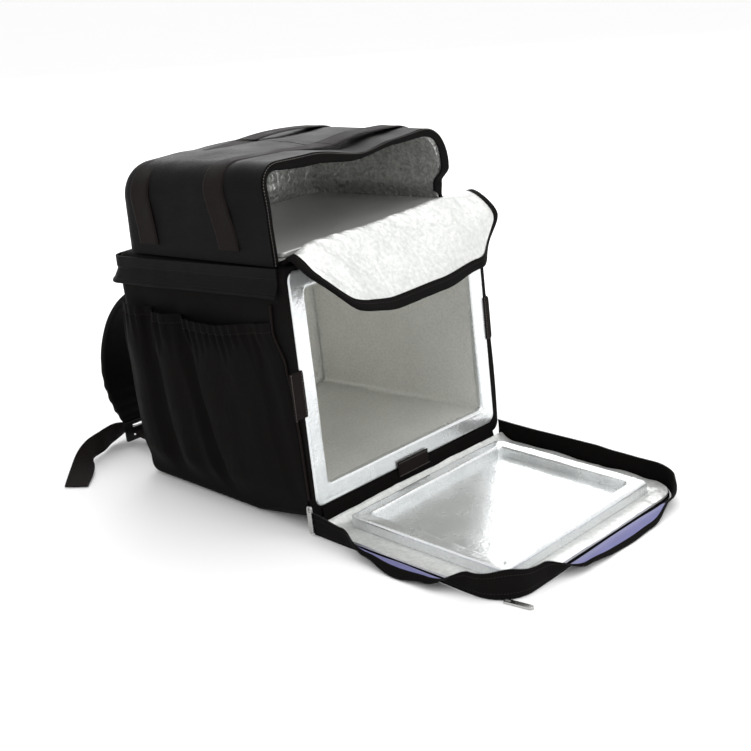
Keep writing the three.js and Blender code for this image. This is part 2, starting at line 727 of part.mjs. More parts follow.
// Loose skirt around the shell's head, open at the front, its lower edge standing off
function skirtBand() {
  const surface = (u, v) => {
    const middle = THREE.MathUtils.lerp(SKIRT_END_SLACK, 1, Math.sin(Math.PI * u));
    const slack = Math.max(2 * v - 1, 0) * middle;
    const flare = GAP + SKIRT_FLARE * slack;
    const length = DEPTH - SKIRT_FRONT;
    const { x, y } = aroundPath(u, SHELL_HALF, length, SHELL_ROUND, flare);
    const head = SHELL_HEAD - SKIRT_DROP * (y / length);
    return new THREE.Vector3(x, y + SKIRT_FRONT, head - SKIRT_HEIGHT * v);
  };
  return sheet(surface, 50, 2, CLOTH);
}

// Gathered pocket over the whole left side: pleats at its hem, and folds that run down and
// forwards from them. Its foot and its front edge are sewn close to the shell.
function sidePocket() {
  const back = DEPTH - SHELL_ROUND;
  const form = POCKET_FORM;
  const surface = (u, v) => {
    const foot = shellFoot(THREE.MathUtils.lerp(back, 0, u)) + SHELL_CORNER;
    const z = THREE.MathUtils.lerp(foot, foot - SHELL_CORNER + POCKET_HEIGHT, v);
    const depth = THREE.MathUtils.lerp(back, pipingDepth(z) + PIPING_RADIUS + CLOTH, u);
    const eased = THREE.MathUtils.lerp(form.backEase, 1, u);
    const sewn = Math.max(Math.sin(Math.PI * eased), 0) ** form.sewnPower;
    const raised = Math.sin(Math.PI * v * form.bellyTop) ** form.bellyPower;
    const belly = POCKET_BULGE * THREE.MathUtils.lerp(form.footBelly, 1, raised);
    let fold = 0;
    for (const row of POCKET_FOLDS) {
      const place = THREE.MathUtils.lerp(row.foot, row.hem, v);
      fold += row.push * bump(u - place, row.width);
    }
    const gathered = THREE.MathUtils.smoothstep(v, form.gather, 1);
    const pleat = Math.cos(2 * Math.PI * POCKET_PLEATS * u) * gathered;
    const out = (belly + POCKET_FOLD_DEPTH * fold + POCKET_PLEAT_DEPTH * pleat) * sewn;
    const open = THREE.MathUtils.smoothstep(v, 0, form.opening);
    return new THREE.Vector3(-SHELL_HALF - GAP - CLOTH - Math.max(out, 0) * open, depth, z);
  };
  return sheet(surface, 60, 10, -CLOTH);
}

// Stiff tab on the box's front edge, its outer part bent back by an angle
function holdTab(bend) {
  const surface = (u, v) => {
    const past = Math.max(TAB_WIDTH * u - TAB_SEAT, 0);
    const x = TAB_WIDTH * u - past + past * Math.cos(bend);
    return new THREE.Vector3(x, past * Math.sin(bend), TAB_LENGTH * (v - 0.5));
  };
  return sheet(surface, 6, 1, CLOTH);
}

// Door: a board in black cloth, its far corners round
function doorShape(half, near, far, corner) {
  const shape = new THREE.Shape();
  shape.moveTo(-half, -near);
  shape.lineTo(half, -near);
  shape.lineTo(half, -(far - corner));
  shape.absarc(half - corner, -(far - corner), corner, 0, -Math.PI / 2, true);
  shape.absarc(-half + corner, -(far - corner), corner, -Math.PI / 2, -Math.PI, true);
  return shape;
}

function doorPanel() {
  const shape = doorShape(SHELL_HALF, GAP, DOOR_LENGTH, DOOR_CORNER);
  return new THREE.ExtrudeGeometry(shape, { depth: DOOR_PANEL, bevelEnabled: false });
}

function doorLining() {
  const near = HINGE_REACH + HINGE_OVERLAP + GAP;
  const shape = doorShape(SHELL_HALF - CLOTH, near, DOOR_LENGTH - CLOTH, DOOR_CORNER - CLOTH);
  const geometry = new THREE.ExtrudeGeometry(shape, { depth: DOOR_LINING, bevelEnabled: false });
  geometry.translate(0, 0, DOOR_PANEL + GAP);
  return geometry;
}

// Foil-covered foam tray that plugs the box's mouth when the door is shut
function doorTray() {
  const half = BOX_WIDTH / 2 - BOX_WALL - TRAY_CLEARANCE;
  const foot = DOOR_TOP + GAP;
  const ring = (inset, z) => outline({
    left: -half + inset,
    right: half - inset,
    foot: -TRAY_SETBACK - TRAY_LENGTH + inset,
    head: -TRAY_SETBACK - inset,
    corners: Array(4).fill(TRAY_CORNER),
  }).map((point) => new THREE.Vector3(point.x, point.z, z));
  return loft([
    ring(0, foot),
    ring(0, foot + TRAY_HEIGHT),
    ring(TRAY_RIM, foot + TRAY_HEIGHT),
    ring(TRAY_RIM, foot + TRAY_FLOOR),
  ]);
}

// Zip band around the door's three free sides, upright in places and flopped outwards in others
function doorBand() {
  const surface = (u, v) => {
    const foot = BAND_HEIGHT * read(BAND_LINE, 'along', 'foot', u);
    const head = BAND_HEIGHT * read(BAND_LINE, 'along', 'head', u);
    const rise = BAND_HEIGHT * read(BAND_LINE, 'along', 'rise', u);
    const out = GAP + CLOTH + THREE.MathUtils.lerp(foot, head, v);
    const { x, y } = aroundPath(u, SHELL_HALF, DOOR_LENGTH, DOOR_CORNER, out);
    return new THREE.Vector3(x, -y, BAND_FOOT + rise * v);
  };
  return sheet(surface, 60, 2, -CLOTH);
}

// Cloth hinge from the bag's front foot down to the door's near edge
function hingeStrip() {
  const top = leaned(0, FACE_STEP - GAP, BASE_PAD - GAP - FACE_STEP);
  const knee = leaned(0, FACE_STEP - GAP, floorAt(0)).setZ(DOOR_PANEL + GAP);
  const lying = new THREE.Vector3(0, HINGE.y - HINGE_REACH, knee.z);
  const end = new THREE.Vector3(0, lying.y - HINGE_OVERLAP, knee.z);
  const path = new THREE.CubicBezierCurve3(top, knee, lying, end);
  const half = SHELL_HALF - SHELL_CORNER;
  const surface = (u, v) => {
    const point = path.getPoint(v);
    point.x = THREE.MathUtils.lerp(-half, half, u);
    return point;
  };
  return sheet(surface, 2, 12, -HINGE_CLOTH);
}

// Metal zip pull: a rounded plate with a slot at its upper end
function zipPull() {
  const shape = new THREE.Shape();
  const r = PULL_WIDTH / 2;
  shape.absarc(0, -PULL_LENGTH + 2 * r, r, Math.PI, 2 * Math.PI, false);
  shape.absarc(0, 0, r, 0, Math.PI, false);
  const slot = new THREE.Path();
  slot.absarc(0, 0, PULL_SLOT / 2, 0, Math.PI, false);
  slot.absarc(0, -PULL_SLOT, PULL_SLOT / 2, Math.PI, 2 * Math.PI, false);
  shape.holes.push(slot);
  return new THREE.ExtrudeGeometry(shape, {
    depth: PULL_THICKNESS, bevelEnabled: false, curveSegments: 6,
  });
}

// Stations along a curve in the YZ plane whose width runs along X
function stationsAcross(curve, steps) {
  return Array.from({ length: steps + 1 }, (_, i) => {
    const tangent = curve.getTangent(i / steps);
    const side = new THREE.Vector3(1, 0, 0);
    return { at: curve.getPoint(i / steps), side, up: side.clone().cross(tangent).normalize() };
  });
}

// Padded carrying strap at a place across the bag's back
function shoulderStrap(x) {
  const points = STRAP_LINE.map(({ height, bow }) => new THREE.Vector3(
    x,
    DEPTH + GAP + STRAP_THICKNESS / 2 + bow * STRAP_BOW,
    height * STRAP_HEAD,
  ));
  const curve = new THREE.CatmullRomCurve3(points);
  return ribbon(stationsAcross(curve, 18), STRAP_WIDTH, STRAP_THICKNESS, STRAP_THICKNESS / 3);
}

// Middle of the strap's buckle behind and under the strap's lower end
const BUCKLE_PLACE = new THREE.Vector2(
  DEPTH + GAP + STRAP_THICKNESS / 2 + STRAP_LINE.at(-1).bow * STRAP_BOW,
  STRAP_LINE.at(-1).height * STRAP_HEAD - BUCKLE_HEIGHT / 2,
);

// Short webbing from the bag's back foot up to the strap's buckle
function strapAnchor(x) {
  const near = DEPTH + GAP + WEBBING / 2;
  const far = BUCKLE_PLACE.x - BUCKLE_THICKNESS - GAP - WEBBING / 2;
  const curve = new THREE.CubicBezierCurve3(
    new THREE.Vector3(x, near, ANCHOR_HEAD),
    new THREE.Vector3(x, near, ANCHOR_SAG),
    new THREE.Vector3(x, far, ANCHOR_SAG),
    new THREE.Vector3(x, far, BUCKLE_PLACE.y),
  );
  return ribbon(stationsAcross(curve, 8), LOWER_WEBBING_WIDTH, WEBBING);
}

// Plain strap buckle: a plate with two slots
function buckle(x) {
  const shape = new THREE.Shape();
  const w = STRAP_WIDTH / 2;
  const h = BUCKLE_HEIGHT / 2;
  shape.moveTo(-w, -h);
  shape.lineTo(w, -h);
  shape.lineTo(w, h);
  shape.lineTo(-w, h);
  for (const z of [-h / 2, h / 2]) {
    const slot = new THREE.Path();
    const half = LOWER_WEBBING_WIDTH / 2;
    slot.moveTo(-half, z - BUCKLE_SLOT / 2);
    slot.lineTo(-half, z + BUCKLE_SLOT / 2);
    slot.lineTo(half, z + BUCKLE_SLOT / 2);
    slot.lineTo(half, z - BUCKLE_SLOT / 2);
    shape.holes.push(slot);
  }
  const geometry = new THREE.ExtrudeGeometry(shape, {
    depth: BUCKLE_THICKNESS, bevelEnabled: false,
  });
  geometry.rotateX(Math.PI / 2);
  geometry.translate(x, BUCKLE_PLACE.x, BUCKLE_PLACE.y);
  return geometry;
}

// Loose lower webbing: from the buckle down onto the floor on its edge, then lying flat
function lowerWebbing(side) {
  const start = leaned(
    (side * STRAP_SPACING) / 2,
    BUCKLE_PLACE.x + GAP,
    BUCKLE_PLACE.y,
  );
  const curve = new THREE.CatmullRomCurve3(WEBBING_LINE.map(({ out, behind, up }) => (
    new THREE.Vector3(
      start.x + side * out * WEBBING_OUT,
      start.y + behind * WEBBING_BEHIND,
      start.z * up,
    ))));
  const across = new THREE.CatmullRomCurve3(WEBBING_LINE.map(
    ({ acrossX, acrossY, acrossZ }) => new THREE.Vector3(acrossX, side * acrossY, side * acrossZ),
  ));
  const steps = 3 * (WEBBING_LINE.length - 1);
  const stations = Array.from({ length: steps + 1 }, (_, i) => {
    const tangent = curve.getTangent(i / steps);
    const width = across.getPoint(i / steps);
    const square = width.addScaledVector(tangent, -width.dot(tangent)).normalize();
    return { at: curve.getPoint(i / steps), side: square, up: square.clone().cross(tangent) };
  });
  return ribbon(stations, LOWER_WEBBING_WIDTH, WEBBING);
}

const HINGE = leaned(0, 0, 0);

const model = new THREE.Group();
const bag = new THREE.Group();
bag.position.y = DEPTH / 2;
bag.rotation.x = -LEAN;
const upright = new THREE.Group();
upright.position.y = -DEPTH;
bag.add(upright);
model.add(bag);

upright.add(piece('outer_shell', outerShell(), 'nylon'));
upright.add(piece('liner_box', linerBox(), 'foil'));
upright.add(piece('skirt_band', skirtBand(), 'webbing'));
upright.add(piece('side_pocket', sidePocket(), 'nylon'));
upright.add(piece('piping_left', piping(-1), 'webbing'));
upright.add(piece('piping_right', piping(1), 'webbing'));
upright.add(piece('hood_shell', hoodShell(), 'nylon'));
upright.add(piece('hood_lining', hoodLining(), 'lining'));
upright.add(piece('hood_floor_pad', floorPad(), 'lining'));
upright.add(piece('hood_binding', hoodBinding(), 'nylon'));
upright.add(piece('front_flap', frontFlap(), 'flap'));
upright.add(piece('flap_binding', flapBinding(), 'nylon'));
for (const handle of HANDLES) {
  upright.add(piece(handle.name, handleStrap(handle), 'webbing'));
}

const door = new THREE.Group();
door.position.y = HINGE.y;
door.add(piece('door_panel', doorPanel(), 'nylon'));
door.add(piece('door_lining', doorLining(), 'flap'));
door.add(piece('door_tray', doorTray(), 'foil'));
door.add(piece('door_band', doorBand(), 'coated'));
model.add(door);
model.add(piece('door_hinge_strip', hingeStrip(), 'nylon'));

// Tabs on the box's front edge: one at each side and one over its foot
const tabs = {
  left: { turn: Math.PI, reach: BOX_WIDTH / 2 - TAB_GRIP, step: GAP, bend: 0 },
  right: { turn: 0, reach: BOX_WIDTH / 2 - TAB_GRIP, step: GAP, bend: TAB_BEND },
  bottom: {
    turn: Math.PI / 2, reach: BOX_HEIGHT / 2 - TAB_SEAT, step: 2 * GAP + HINGE_CLOTH, bend: 0,
  },
};
for (const [name, { turn, reach, step, bend }] of Object.entries(tabs)) {
  const tab = piece(`hold_tab_${name}`, holdTab(bend), 'webbing');
  tab.position.x = reach;
  const seat = new THREE.Group();
  seat.rotation.y = turn;
  seat.position.set(0, -step, BASE_PAD + BOX_HEIGHT / 2);
  seat.add(tab);
  upright.add(seat);
}

// Zip pulls: one hangs beside the hinge, one lies on the floor off the door's near far corner
const hangingPull = piece('zip_pull_hinge', zipPull(), 'zinc');
hangingPull.rotation.set(Math.PI / 2, 0, Math.PI / 2, 'ZXY');
hangingPull.position.set(
  -SHELL_HALF - 2 * (PIPING_RADIUS + GAP) - PULL_THICKNESS,
  pipingDepth(BASE_PAD) - PIPING_RADIUS,
  floorAt(0) + PULL_LENGTH - PULL_WIDTH / 2 + PULL_THICKNESS,
);
upright.add(hangingPull);
const lyingPull = piece('zip_pull_corner', zipPull(), 'zinc');
const cornerReach = (DOOR_CORNER + BAND_HEIGHT * PULL_OUT) * Math.SQRT1_2;
lyingPull.position.set(
  -(SHELL_HALF - DOOR_CORNER) - cornerReach,
  HINGE.y - (DOOR_LENGTH - DOOR_CORNER) - cornerReach,
  0,
);
lyingPull.rotation.z = PULL_TURN;
model.add(lyingPull);

const sides = { left: -1, right: 1 };
for (const [name, side] of Object.entries(sides)) {
  const x = (side * STRAP_SPACING) / 2;
  upright.add(piece(`shoulder_strap_${name}`, shoulderStrap(x), 'nylon'));
  upright.add(piece(`strap_anchor_${name}`, strapAnchor(x), 'webbing'));
  upright.add(piece(`strap_buckle_${name}`, buckle(x), 'plastic'));
  model.add(piece(`lower_webbing_${name}`, lowerWebbing(side), 'webbing'));
}

export default model;
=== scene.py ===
"""Insulated delivery backpack: the cloth, foil, webbing and padding around its plain solids.

The bag stands on a pale floor with its front door folded down flat and the front flap of its
upper compartment folded out over the silver box. Pieces of the bag are worked out upright in
millimetres, with y counted from the front face, and one function leans them back into the row
frame in metres. The door's pieces lie level in front of the hinge line.
"""

import logging
import math
from dataclasses import dataclass
from enum import Enum
from typing import Callable, Optional, Sequence

import bpy
import numpy as np

from mathutils import Matrix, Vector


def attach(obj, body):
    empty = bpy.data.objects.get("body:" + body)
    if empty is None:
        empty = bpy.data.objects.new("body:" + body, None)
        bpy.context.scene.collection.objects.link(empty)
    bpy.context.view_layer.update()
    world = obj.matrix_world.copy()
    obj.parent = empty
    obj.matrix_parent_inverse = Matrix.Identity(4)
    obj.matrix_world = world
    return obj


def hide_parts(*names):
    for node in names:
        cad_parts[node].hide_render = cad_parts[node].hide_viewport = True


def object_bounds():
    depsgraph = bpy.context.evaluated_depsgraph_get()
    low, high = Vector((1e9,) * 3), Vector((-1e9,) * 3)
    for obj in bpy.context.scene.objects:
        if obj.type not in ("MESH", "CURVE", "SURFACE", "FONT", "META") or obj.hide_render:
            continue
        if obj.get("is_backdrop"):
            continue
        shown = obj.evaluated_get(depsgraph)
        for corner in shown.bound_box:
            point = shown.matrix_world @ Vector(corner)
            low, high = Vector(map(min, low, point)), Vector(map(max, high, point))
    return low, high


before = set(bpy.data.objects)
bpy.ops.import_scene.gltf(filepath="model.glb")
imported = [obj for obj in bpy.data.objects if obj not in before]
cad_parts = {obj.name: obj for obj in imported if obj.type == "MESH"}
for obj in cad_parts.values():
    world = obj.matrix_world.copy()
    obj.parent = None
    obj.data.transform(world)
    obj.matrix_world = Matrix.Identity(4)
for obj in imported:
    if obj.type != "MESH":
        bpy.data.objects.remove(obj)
packed_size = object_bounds()

log = logging.getLogger("backpack")

MM = 0.001
ROOT = "root"

# Sizes of the whole bag in millimetres, which most of its pieces share
LEAN = math.radians(4.0)
DEPTH = 397.4
SHELL_HALF = 216.4
SHELL_HEAD = 372.4
BASE_PAD = 10.0
BOX_HALF = 210.0
BOX_HEAD = 366.0
GAP = 0.4
CLOTH = 2.0


class Side(Enum):
    """A side of the bag, with its sign along x."""

    LEFT = -1
    RIGHT = 1


class Hold(Enum):
    """How a sheet of cloth is held."""

    LAID = "laid"
    FOLDED = "folded"
    GATHERED = "gathered"
    STRETCHED = "stretched"


# Number work on whole arrays


def lean(points: np.ndarray) -> np.ndarray:
    """Turns upright bag points back by the lean and into the row frame.

    Args:
        points: Bag points in millimetres, with x, y and z on the last axis.

    Returns:
        Row frame points in metres: the depth counted from the back edge on the floor turns with
        the height by the lean, and half of the depth is added to y.
    """
    x, y, z = np.moveaxis(np.asarray(points, float), -1, 0)
    back = y - DEPTH
    turned = (
        x,
        DEPTH / 2 + back * math.cos(LEAN) + z * math.sin(LEAN),
        z * math.cos(LEAN) - back * math.sin(LEAN),
    )
    return np.stack(turned, axis=-1) * MM


def mix(low: np.ndarray, high: np.ndarray, share: np.ndarray) -> np.ndarray:
    """Mixes two values: low plus the share of the step up to high."""
    return low + (high - low) * share


def smoothstep(value: np.ndarray, low: float, high: float) -> np.ndarray:
    """A smooth step from 0 at low to 1 at high: 3 t squared less 2 t cubed."""
    t = np.clip((np.asarray(value, float) - low) / (high - low), 0.0, 1.0)
    return t * t * (3.0 - 2.0 * t)


def shrunk(ring: np.ndarray, sizes: np.ndarray) -> np.ndarray:
    """Copies of a ring, each shrunk towards its middle by a share."""
    return mix(ring.mean(axis=0), ring, np.asarray(sizes)[:, None, None])


def bump(distance: np.ndarray, width: float) -> np.ndarray:
    """A bell: the square of one less the squared share of twice the width, 0 beyond it."""
    t = np.minimum(np.abs(distance) / (2.0 * width), 1.0)
    return (1.0 - t * t) ** 2


@dataclass(frozen=True)
class Table:
    """A short table of numbers with named columns, the first one the place along."""

    columns: tuple[str, ...]
    rows: tuple[tuple[float, ...], ...]

    def read(self, column: str, place: np.ndarray) -> np.ndarray:
        """Reads a column between its rows with a smooth step.

        Args:
            column: Name of the column.
            place: Places along the table.

        Returns:
            The column's value at each place.
        """
        values = np.array(self.rows, float)
        along = values[:, 0]
        wanted = values[:, self.columns.index(column)]
        spot = np.clip(np.asarray(place, float), along[0], along[-1])
        row = np.clip(np.searchsorted(along, spot, side="left") - 1, 0, len(along) - 2)
        t = (spot - along[row]) / (along[row + 1] - along[row])
        return mix(wanted[row], wanted[row + 1], t * t * (3.0 - 2.0 * t))


def noise(points: np.ndarray, cell: float, seed: int) -> np.ndarray:
    """Smooth noise in space.

    Args:
        points: Points, with three numbers on the last axis.
        cell: Size of one cell in the points' unit.
        seed: Picks the pattern.

    Returns:
        A value from -1 to 1 at each point: random values at the corners of a grid of cells, mixed
        along the three axes with a smooth step.
    """
    grid = np.random.default_rng(seed).uniform(-1.0, 1.0, (32, 32, 32))
    place = np.asarray(points, float) / cell
    base = np.floor(place).astype(int)
    t = place - base
    t = t * t * (3.0 - 2.0 * t)
    total = np.zeros(place.shape[:-1])
    for dx in (0, 1):
        for dy in (0, 1):
            for dz in (0, 1):
                corner = (base + (dx, dy, dz)) % 32
                weight = np.abs(1 - dx - t[..., 0]) * np.abs(1 - dy - t[..., 1])
                weight = weight * np.abs(1 - dz - t[..., 2])
                total += weight * grid[corner[..., 0], corner[..., 1], corner[..., 2]]
    return total


def creases(points: np.ndarray, cell: float, seed: int) -> np.ndarray:
    """Sharp creases as in crumpled foil.

    Args:
        points: Points, with three numbers on the last axis.
        cell: Distance between the main creases in the points' unit.
        seed: Picks the pattern.

    Returns:
        A value from about -1 to 1: one less twice the size of noise at three scales, read at
        places that other noise has shifted, so that it is sharp along winding lines.
    """
    shift = np.stack([noise(points, 1.7 * cell, seed + k) for k in (1, 2, 3)], axis=-1)
    place = np.asarray(points, float) + 0.6 * cell * shift
    total = np.zeros(place.shape[:-1])
    for octave, weight in enumerate((0.55, 0.3, 0.15)):
        ridge = 1.0 - 2.0 * np.abs(noise(place, cell / 2**octave, seed + 10 + octave))
        total += weight * ridge
    return total


def curve(knots: np.ndarray, share: np.ndarray) -> np.ndarray:
    """A smooth curve through points, with spans timed by the root of their length.

    Args:
        knots: Points along the first axis and x, y and z on the last, with any axes between.
        share: Shares of the whole curve, an even part of it for each span. It has one axis of its
            own, or the axes between.

    Returns:
        Points on the curve: in each span a cubic with the slopes of the parabola through its
        neighbours, timed so.
    """
    knots = np.asarray(knots, float)
    share = np.asarray(share, float)
    spans = len(knots) - 1
    padded = np.concatenate([[2 * knots[0] - knots[1]], knots, [2 * knots[-1] - knots[-2]]])
    span = np.clip(np.floor(share * spans).astype(int), 0, spans - 1)
    t = (share * spans - span)[..., None]
    if knots.ndim == 2:
        p0, p1, p2, p3 = (padded[span + k] for k in range(4))
    else:
        lanes = np.broadcast_to(np.arange(knots.shape[1]), share.shape)
        p0, p1, p2, p3 = (padded[span + k, lanes] for k in range(4))
    d0, d1, d2 = (
        np.maximum(np.linalg.norm(b - a, axis=-1, keepdims=True) ** 0.5, 1e-6)
        for a, b in ((p0, p1), (p1, p2), (p2, p3))
    )
    start = ((p1 - p0) / d0 - (p2 - p0) / (d0 + d1) + (p2 - p1) / d1) * d1
    end = ((p2 - p1) / d1 - (p3 - p1) / (d1 + d2) + (p3 - p2) / d2) * d1
    c2 = -3 * p1 + 3 * p2 - 2 * start - end
    c3 = 2 * p1 - 2 * p2 + start + end
    return p1 + start * t + c2 * t**2 + c3 * t**3


def cubic(
    start: np.ndarray, leave: np.ndarray, arrive: np.ndarray, end: np.ndarray, share: np.ndarray
) -> np.ndarray:
    """A cubic bend between two points.

    Args:
        start: Its first point.
        leave: The point that it leaves towards.
        arrive: The point that it arrives from.
        end: Its last point.
        share: Shares along it, with a last axis of one.

    Returns:
        The four points weighted by the cubic Bernstein polynomials of the share.
    """
    rest = 1 - share
    return (start * rest**3 + 3 * leave * rest**2 * share + 3 * arrive * rest * share**2
            + end * share**3)


def shares(columns: int, rows: int) -> tuple[np.ndarray, np.ndarray]:
    """Even shares from 0 to 1: one row along a grid and one column across it."""
    return np.linspace(0.0, 1.0, columns)[None, :], np.linspace(0.0, 1.0, rows)[:, None]


def unit(vectors: np.ndarray) -> np.ndarray:
    """Scales vectors on the last axis to length one."""
    return vectors / np.maximum(np.linalg.norm(vectors, axis=-1, keepdims=True), 1e-12)


def grid_normals(grid: np.ndarray, wrapped: bool = False) -> np.ndarray:
    """Directions square to a grid of points.

    Args:
        grid: Points in rows and columns.
        wrapped: Whether the last column meets the first.

    Returns:
        The unit cross product of the steps between neighbouring columns and rows.
    """
    if wrapped:
        along = np.roll(grid, -1, axis=1) - np.roll(grid, 1, axis=1)
    else:
        along = np.gradient(grid, axis=1)
    across = np.gradient(grid, axis=0)
    return unit(np.cross(along, across))


# Meshes


@dataclass
class Patch:
    """Part of a mesh: its points, four-cornered faces, their finishes and flat places."""

    points: np.ndarray
    quads: np.ndarray
    finish: np.ndarray
    flat: np.ndarray


def quad_patch(grid: np.ndarray, finish: int, wrapped: bool = False) -> Patch:
    """Faces over a grid of points.

    Args:
        grid: Points in rows and columns, in metres.
        finish: Number of the finish that the faces take.
        wrapped: Whether the last column meets the first.

    Returns:
        A patch whose flat places are the mean lengths along the rows and columns in metres.
    """
    rows, columns = grid.shape[:2]
    wide = columns if wrapped else columns - 1
    row, column = np.meshgrid(np.arange(rows - 1), np.arange(wide), indexing="ij")
    row, column = row.ravel(), column.ravel()
    after = (column + 1) % columns
    quads = np.stack(
        [row * columns + column, row * columns + after, (row + 1) * columns + after,
         (row + 1) * columns + column],
        axis=-1,
    )
    ring = np.concatenate([grid, grid[:, :1]], axis=1) if wrapped else grid
    steps_u = np.linalg.norm(np.diff(ring, axis=1), axis=-1).mean(axis=0)
    steps_v = np.linalg.norm(np.diff(grid, axis=0), axis=-1).mean(axis=1)
    u = np.concatenate([[0.0], np.cumsum(steps_u)])
    v = np.concatenate([[0.0], np.cumsum(steps_v)])
    corners_u = np.stack([u[column], u[column + 1], u[column + 1], u[column]], axis=-1)
    corners_v = np.stack([v[row], v[row], v[row + 1], v[row + 1]], axis=-1)
    flat = np.stack([corners_u, corners_v], -1)
    return Patch(grid.reshape(-1, 3), quads, np.full(len(quads), finish), flat)


def build_mesh(
    name: str,
    patches: Sequence[Patch],
    finishes: Sequence["Finish"],
    fans: Sequence[tuple[np.ndarray, int]] = (),
    sharp: float = 50.0,
) -> bpy.types.Object:
    """Makes a closed, outward facing object from patches.

    Args:
        name: Name of the object.
        patches: The patches, whose points are welded where they are the same.
        finishes: The finishes that the patches number.
        fans: Rings in metres, each closed with a fan around its middle, and their finish.
        sharp: Angle from which an edge is hard, in degrees.

    Returns:
        The object at the origin.
    """
    points, corners, sizes, finish, flat = [], [], [], [], []
    count = 0
    for patch in patches:
        points.append(patch.points)
        corners.append((patch.quads + count).ravel())
        sizes.append(np.full(len(patch.quads), 4))
        finish.append(patch.finish)
        flat.append(patch.flat.reshape(-1, 2))
        count += len(patch.points)
    for ring, number in fans:
        size = len(ring)
        middle = ring.mean(axis=0)
        points.extend([ring, middle[None]])
        here = np.arange(size)
        fan = np.stack([count + here, count + (here + 1) % size, np.full(size, count + size)], -1)
        corners.append(fan.ravel())
        sizes.append(np.full(size, 3))
        finish.append(np.full(size, number))
        spread = np.linalg.norm(ring - middle, axis=-1)
        edge = np.stack([spread, here * MM], -1)
        after = np.roll(edge, -1, axis=0)
        flat.append(np.stack([edge, after, np.zeros_like(edge)], 1).reshape(-1, 2))
        count += size + 1
    every = np.concatenate(points)
    loops = np.concatenate(corners)
    _, first, inverse = np.unique(
        np.round(every / 2e-6).astype(np.int64), axis=0, return_index=True, return_inverse=True
    )
    inverse = inverse.reshape(-1)
    every = every[first]
    loops = inverse[loops]
    counts = np.concatenate(sizes)
    starts = np.concatenate([[0], np.cumsum(counts)[:-1]])
    mesh = bpy.data.meshes.new(name)
    mesh.vertices.add(len(every))
    mesh.vertices.foreach_set("co", every.astype(np.float32).ravel())
    mesh.loops.add(len(loops))
    mesh.loops.foreach_set("vertex_index", loops.astype(np.int32))
    mesh.polygons.add(len(counts))
    mesh.polygons.foreach_set("loop_start", starts.astype(np.int32))
    mesh.polygons.foreach_set("loop_total", counts.astype(np.int32))
    for item in finishes:
        mesh.materials.append(item.material())
    mesh.polygons.foreach_set("material_index", np.concatenate(finish).astype(np.int32))
    layer = mesh.uv_layers.new(name="Cut")
    layer.data.foreach_set("uv", np.concatenate(flat).astype(np.float32).ravel())
    mesh.update(calc_edges=True)
    mesh.validate()
    face_outward(mesh)
    mesh.shade_smooth()
    mesh.set_sharp_from_angle(angle=math.radians(sharp))
    return link(name, mesh)


def link(name: str, data: bpy.types.ID) -> bpy.types.Object:
    """Makes an object of a mesh, a light or a camera, at the origin of the scene.

    Args:
        name: Name of the object.
        data: What it holds.

    Returns:
        The object.
    """
    thing = bpy.data.objects.new(name, data)
    bpy.context.scene.collection.objects.link(thing)
    return thing


def face_outward(mesh: bpy.types.Mesh) -> None:
    """Turns a closed mesh over where its faces point in.

    Args:
        mesh: The mesh. Its enclosed volume is the sum over its triangles of a sixth of the first
            corner times the cross product of the others, and is below zero where they point in.
    """
    mesh.calc_loop_triangles()
    corners = np.zeros(len(mesh.loop_triangles) * 3, np.int32)
    mesh.loop_triangles.foreach_get("vertices", corners)
    places = np.zeros(len(mesh.vertices) * 3)
    mesh.vertices.foreach_get("co", places)
    a, b, c = np.moveaxis(places.reshape(-1, 3)[corners.reshape(-1, 3)], 1, 0)
    if np.einsum("ij,ij->i", a, np.cross(b, c)).sum() < 0.0:
        mesh.flip_normals()


def cloth(
    name: str,
    grid: np.ndarray,
    near: float | np.ndarray,
    far: float | np.ndarray,
    finishes: Sequence["Finish"],
    normals: Optional[np.ndarray] = None,
    patches: Sequence[tuple[slice, slice]] = (),
    sharp: float = 50.0,
) -> bpy.types.Object:
    """A closed sheet: two copies of a grid of points, each moved along its normals.

    Args:
        name: Name of the object.
        grid: Points in rows and columns, in metres.
        near: How far the first side lies along the normals, in metres, over the grid or whole.
        far: The same for the second side.
        finishes: Finish of the first side, of the second side, and of the rim where they differ.
        normals: Directions over the grid where they aren't its own.
        patches: Rows and columns of the second side's faces that take the last finish.
        sharp: Angle from which an edge is hard, in degrees.

    Returns:
        The object.
    """
    square = grid_normals(grid) if normals is None else normals
    sides = [
        grid + np.broadcast_to(np.asarray(rise, float), grid.shape[:2])[..., None] * square
        for rise in (near, far)
    ]
    last = len(finishes) - 1
    second = quad_patch(sides[1], min(1, last))
    for patch in patches:
        second.finish.reshape(grid.shape[0] - 1, -1)[patch] = last
    rims = [
        np.concatenate([side[0], side[1:, -1], side[-1, -2::-1], side[-2:0:-1, 0]])
        for side in sides
    ]
    rim = quad_patch(np.stack(rims), min(2, last), wrapped=True)
    first = quad_patch(sides[0], 0)
    first.quads, first.flat = first.quads[:, ::-1], first.flat[:, ::-1]
    rim.quads, rim.flat = rim.quads[:, ::-1], rim.flat[:, ::-1]
    return build_mesh(name, [first, second, rim], finishes, sharp=sharp)


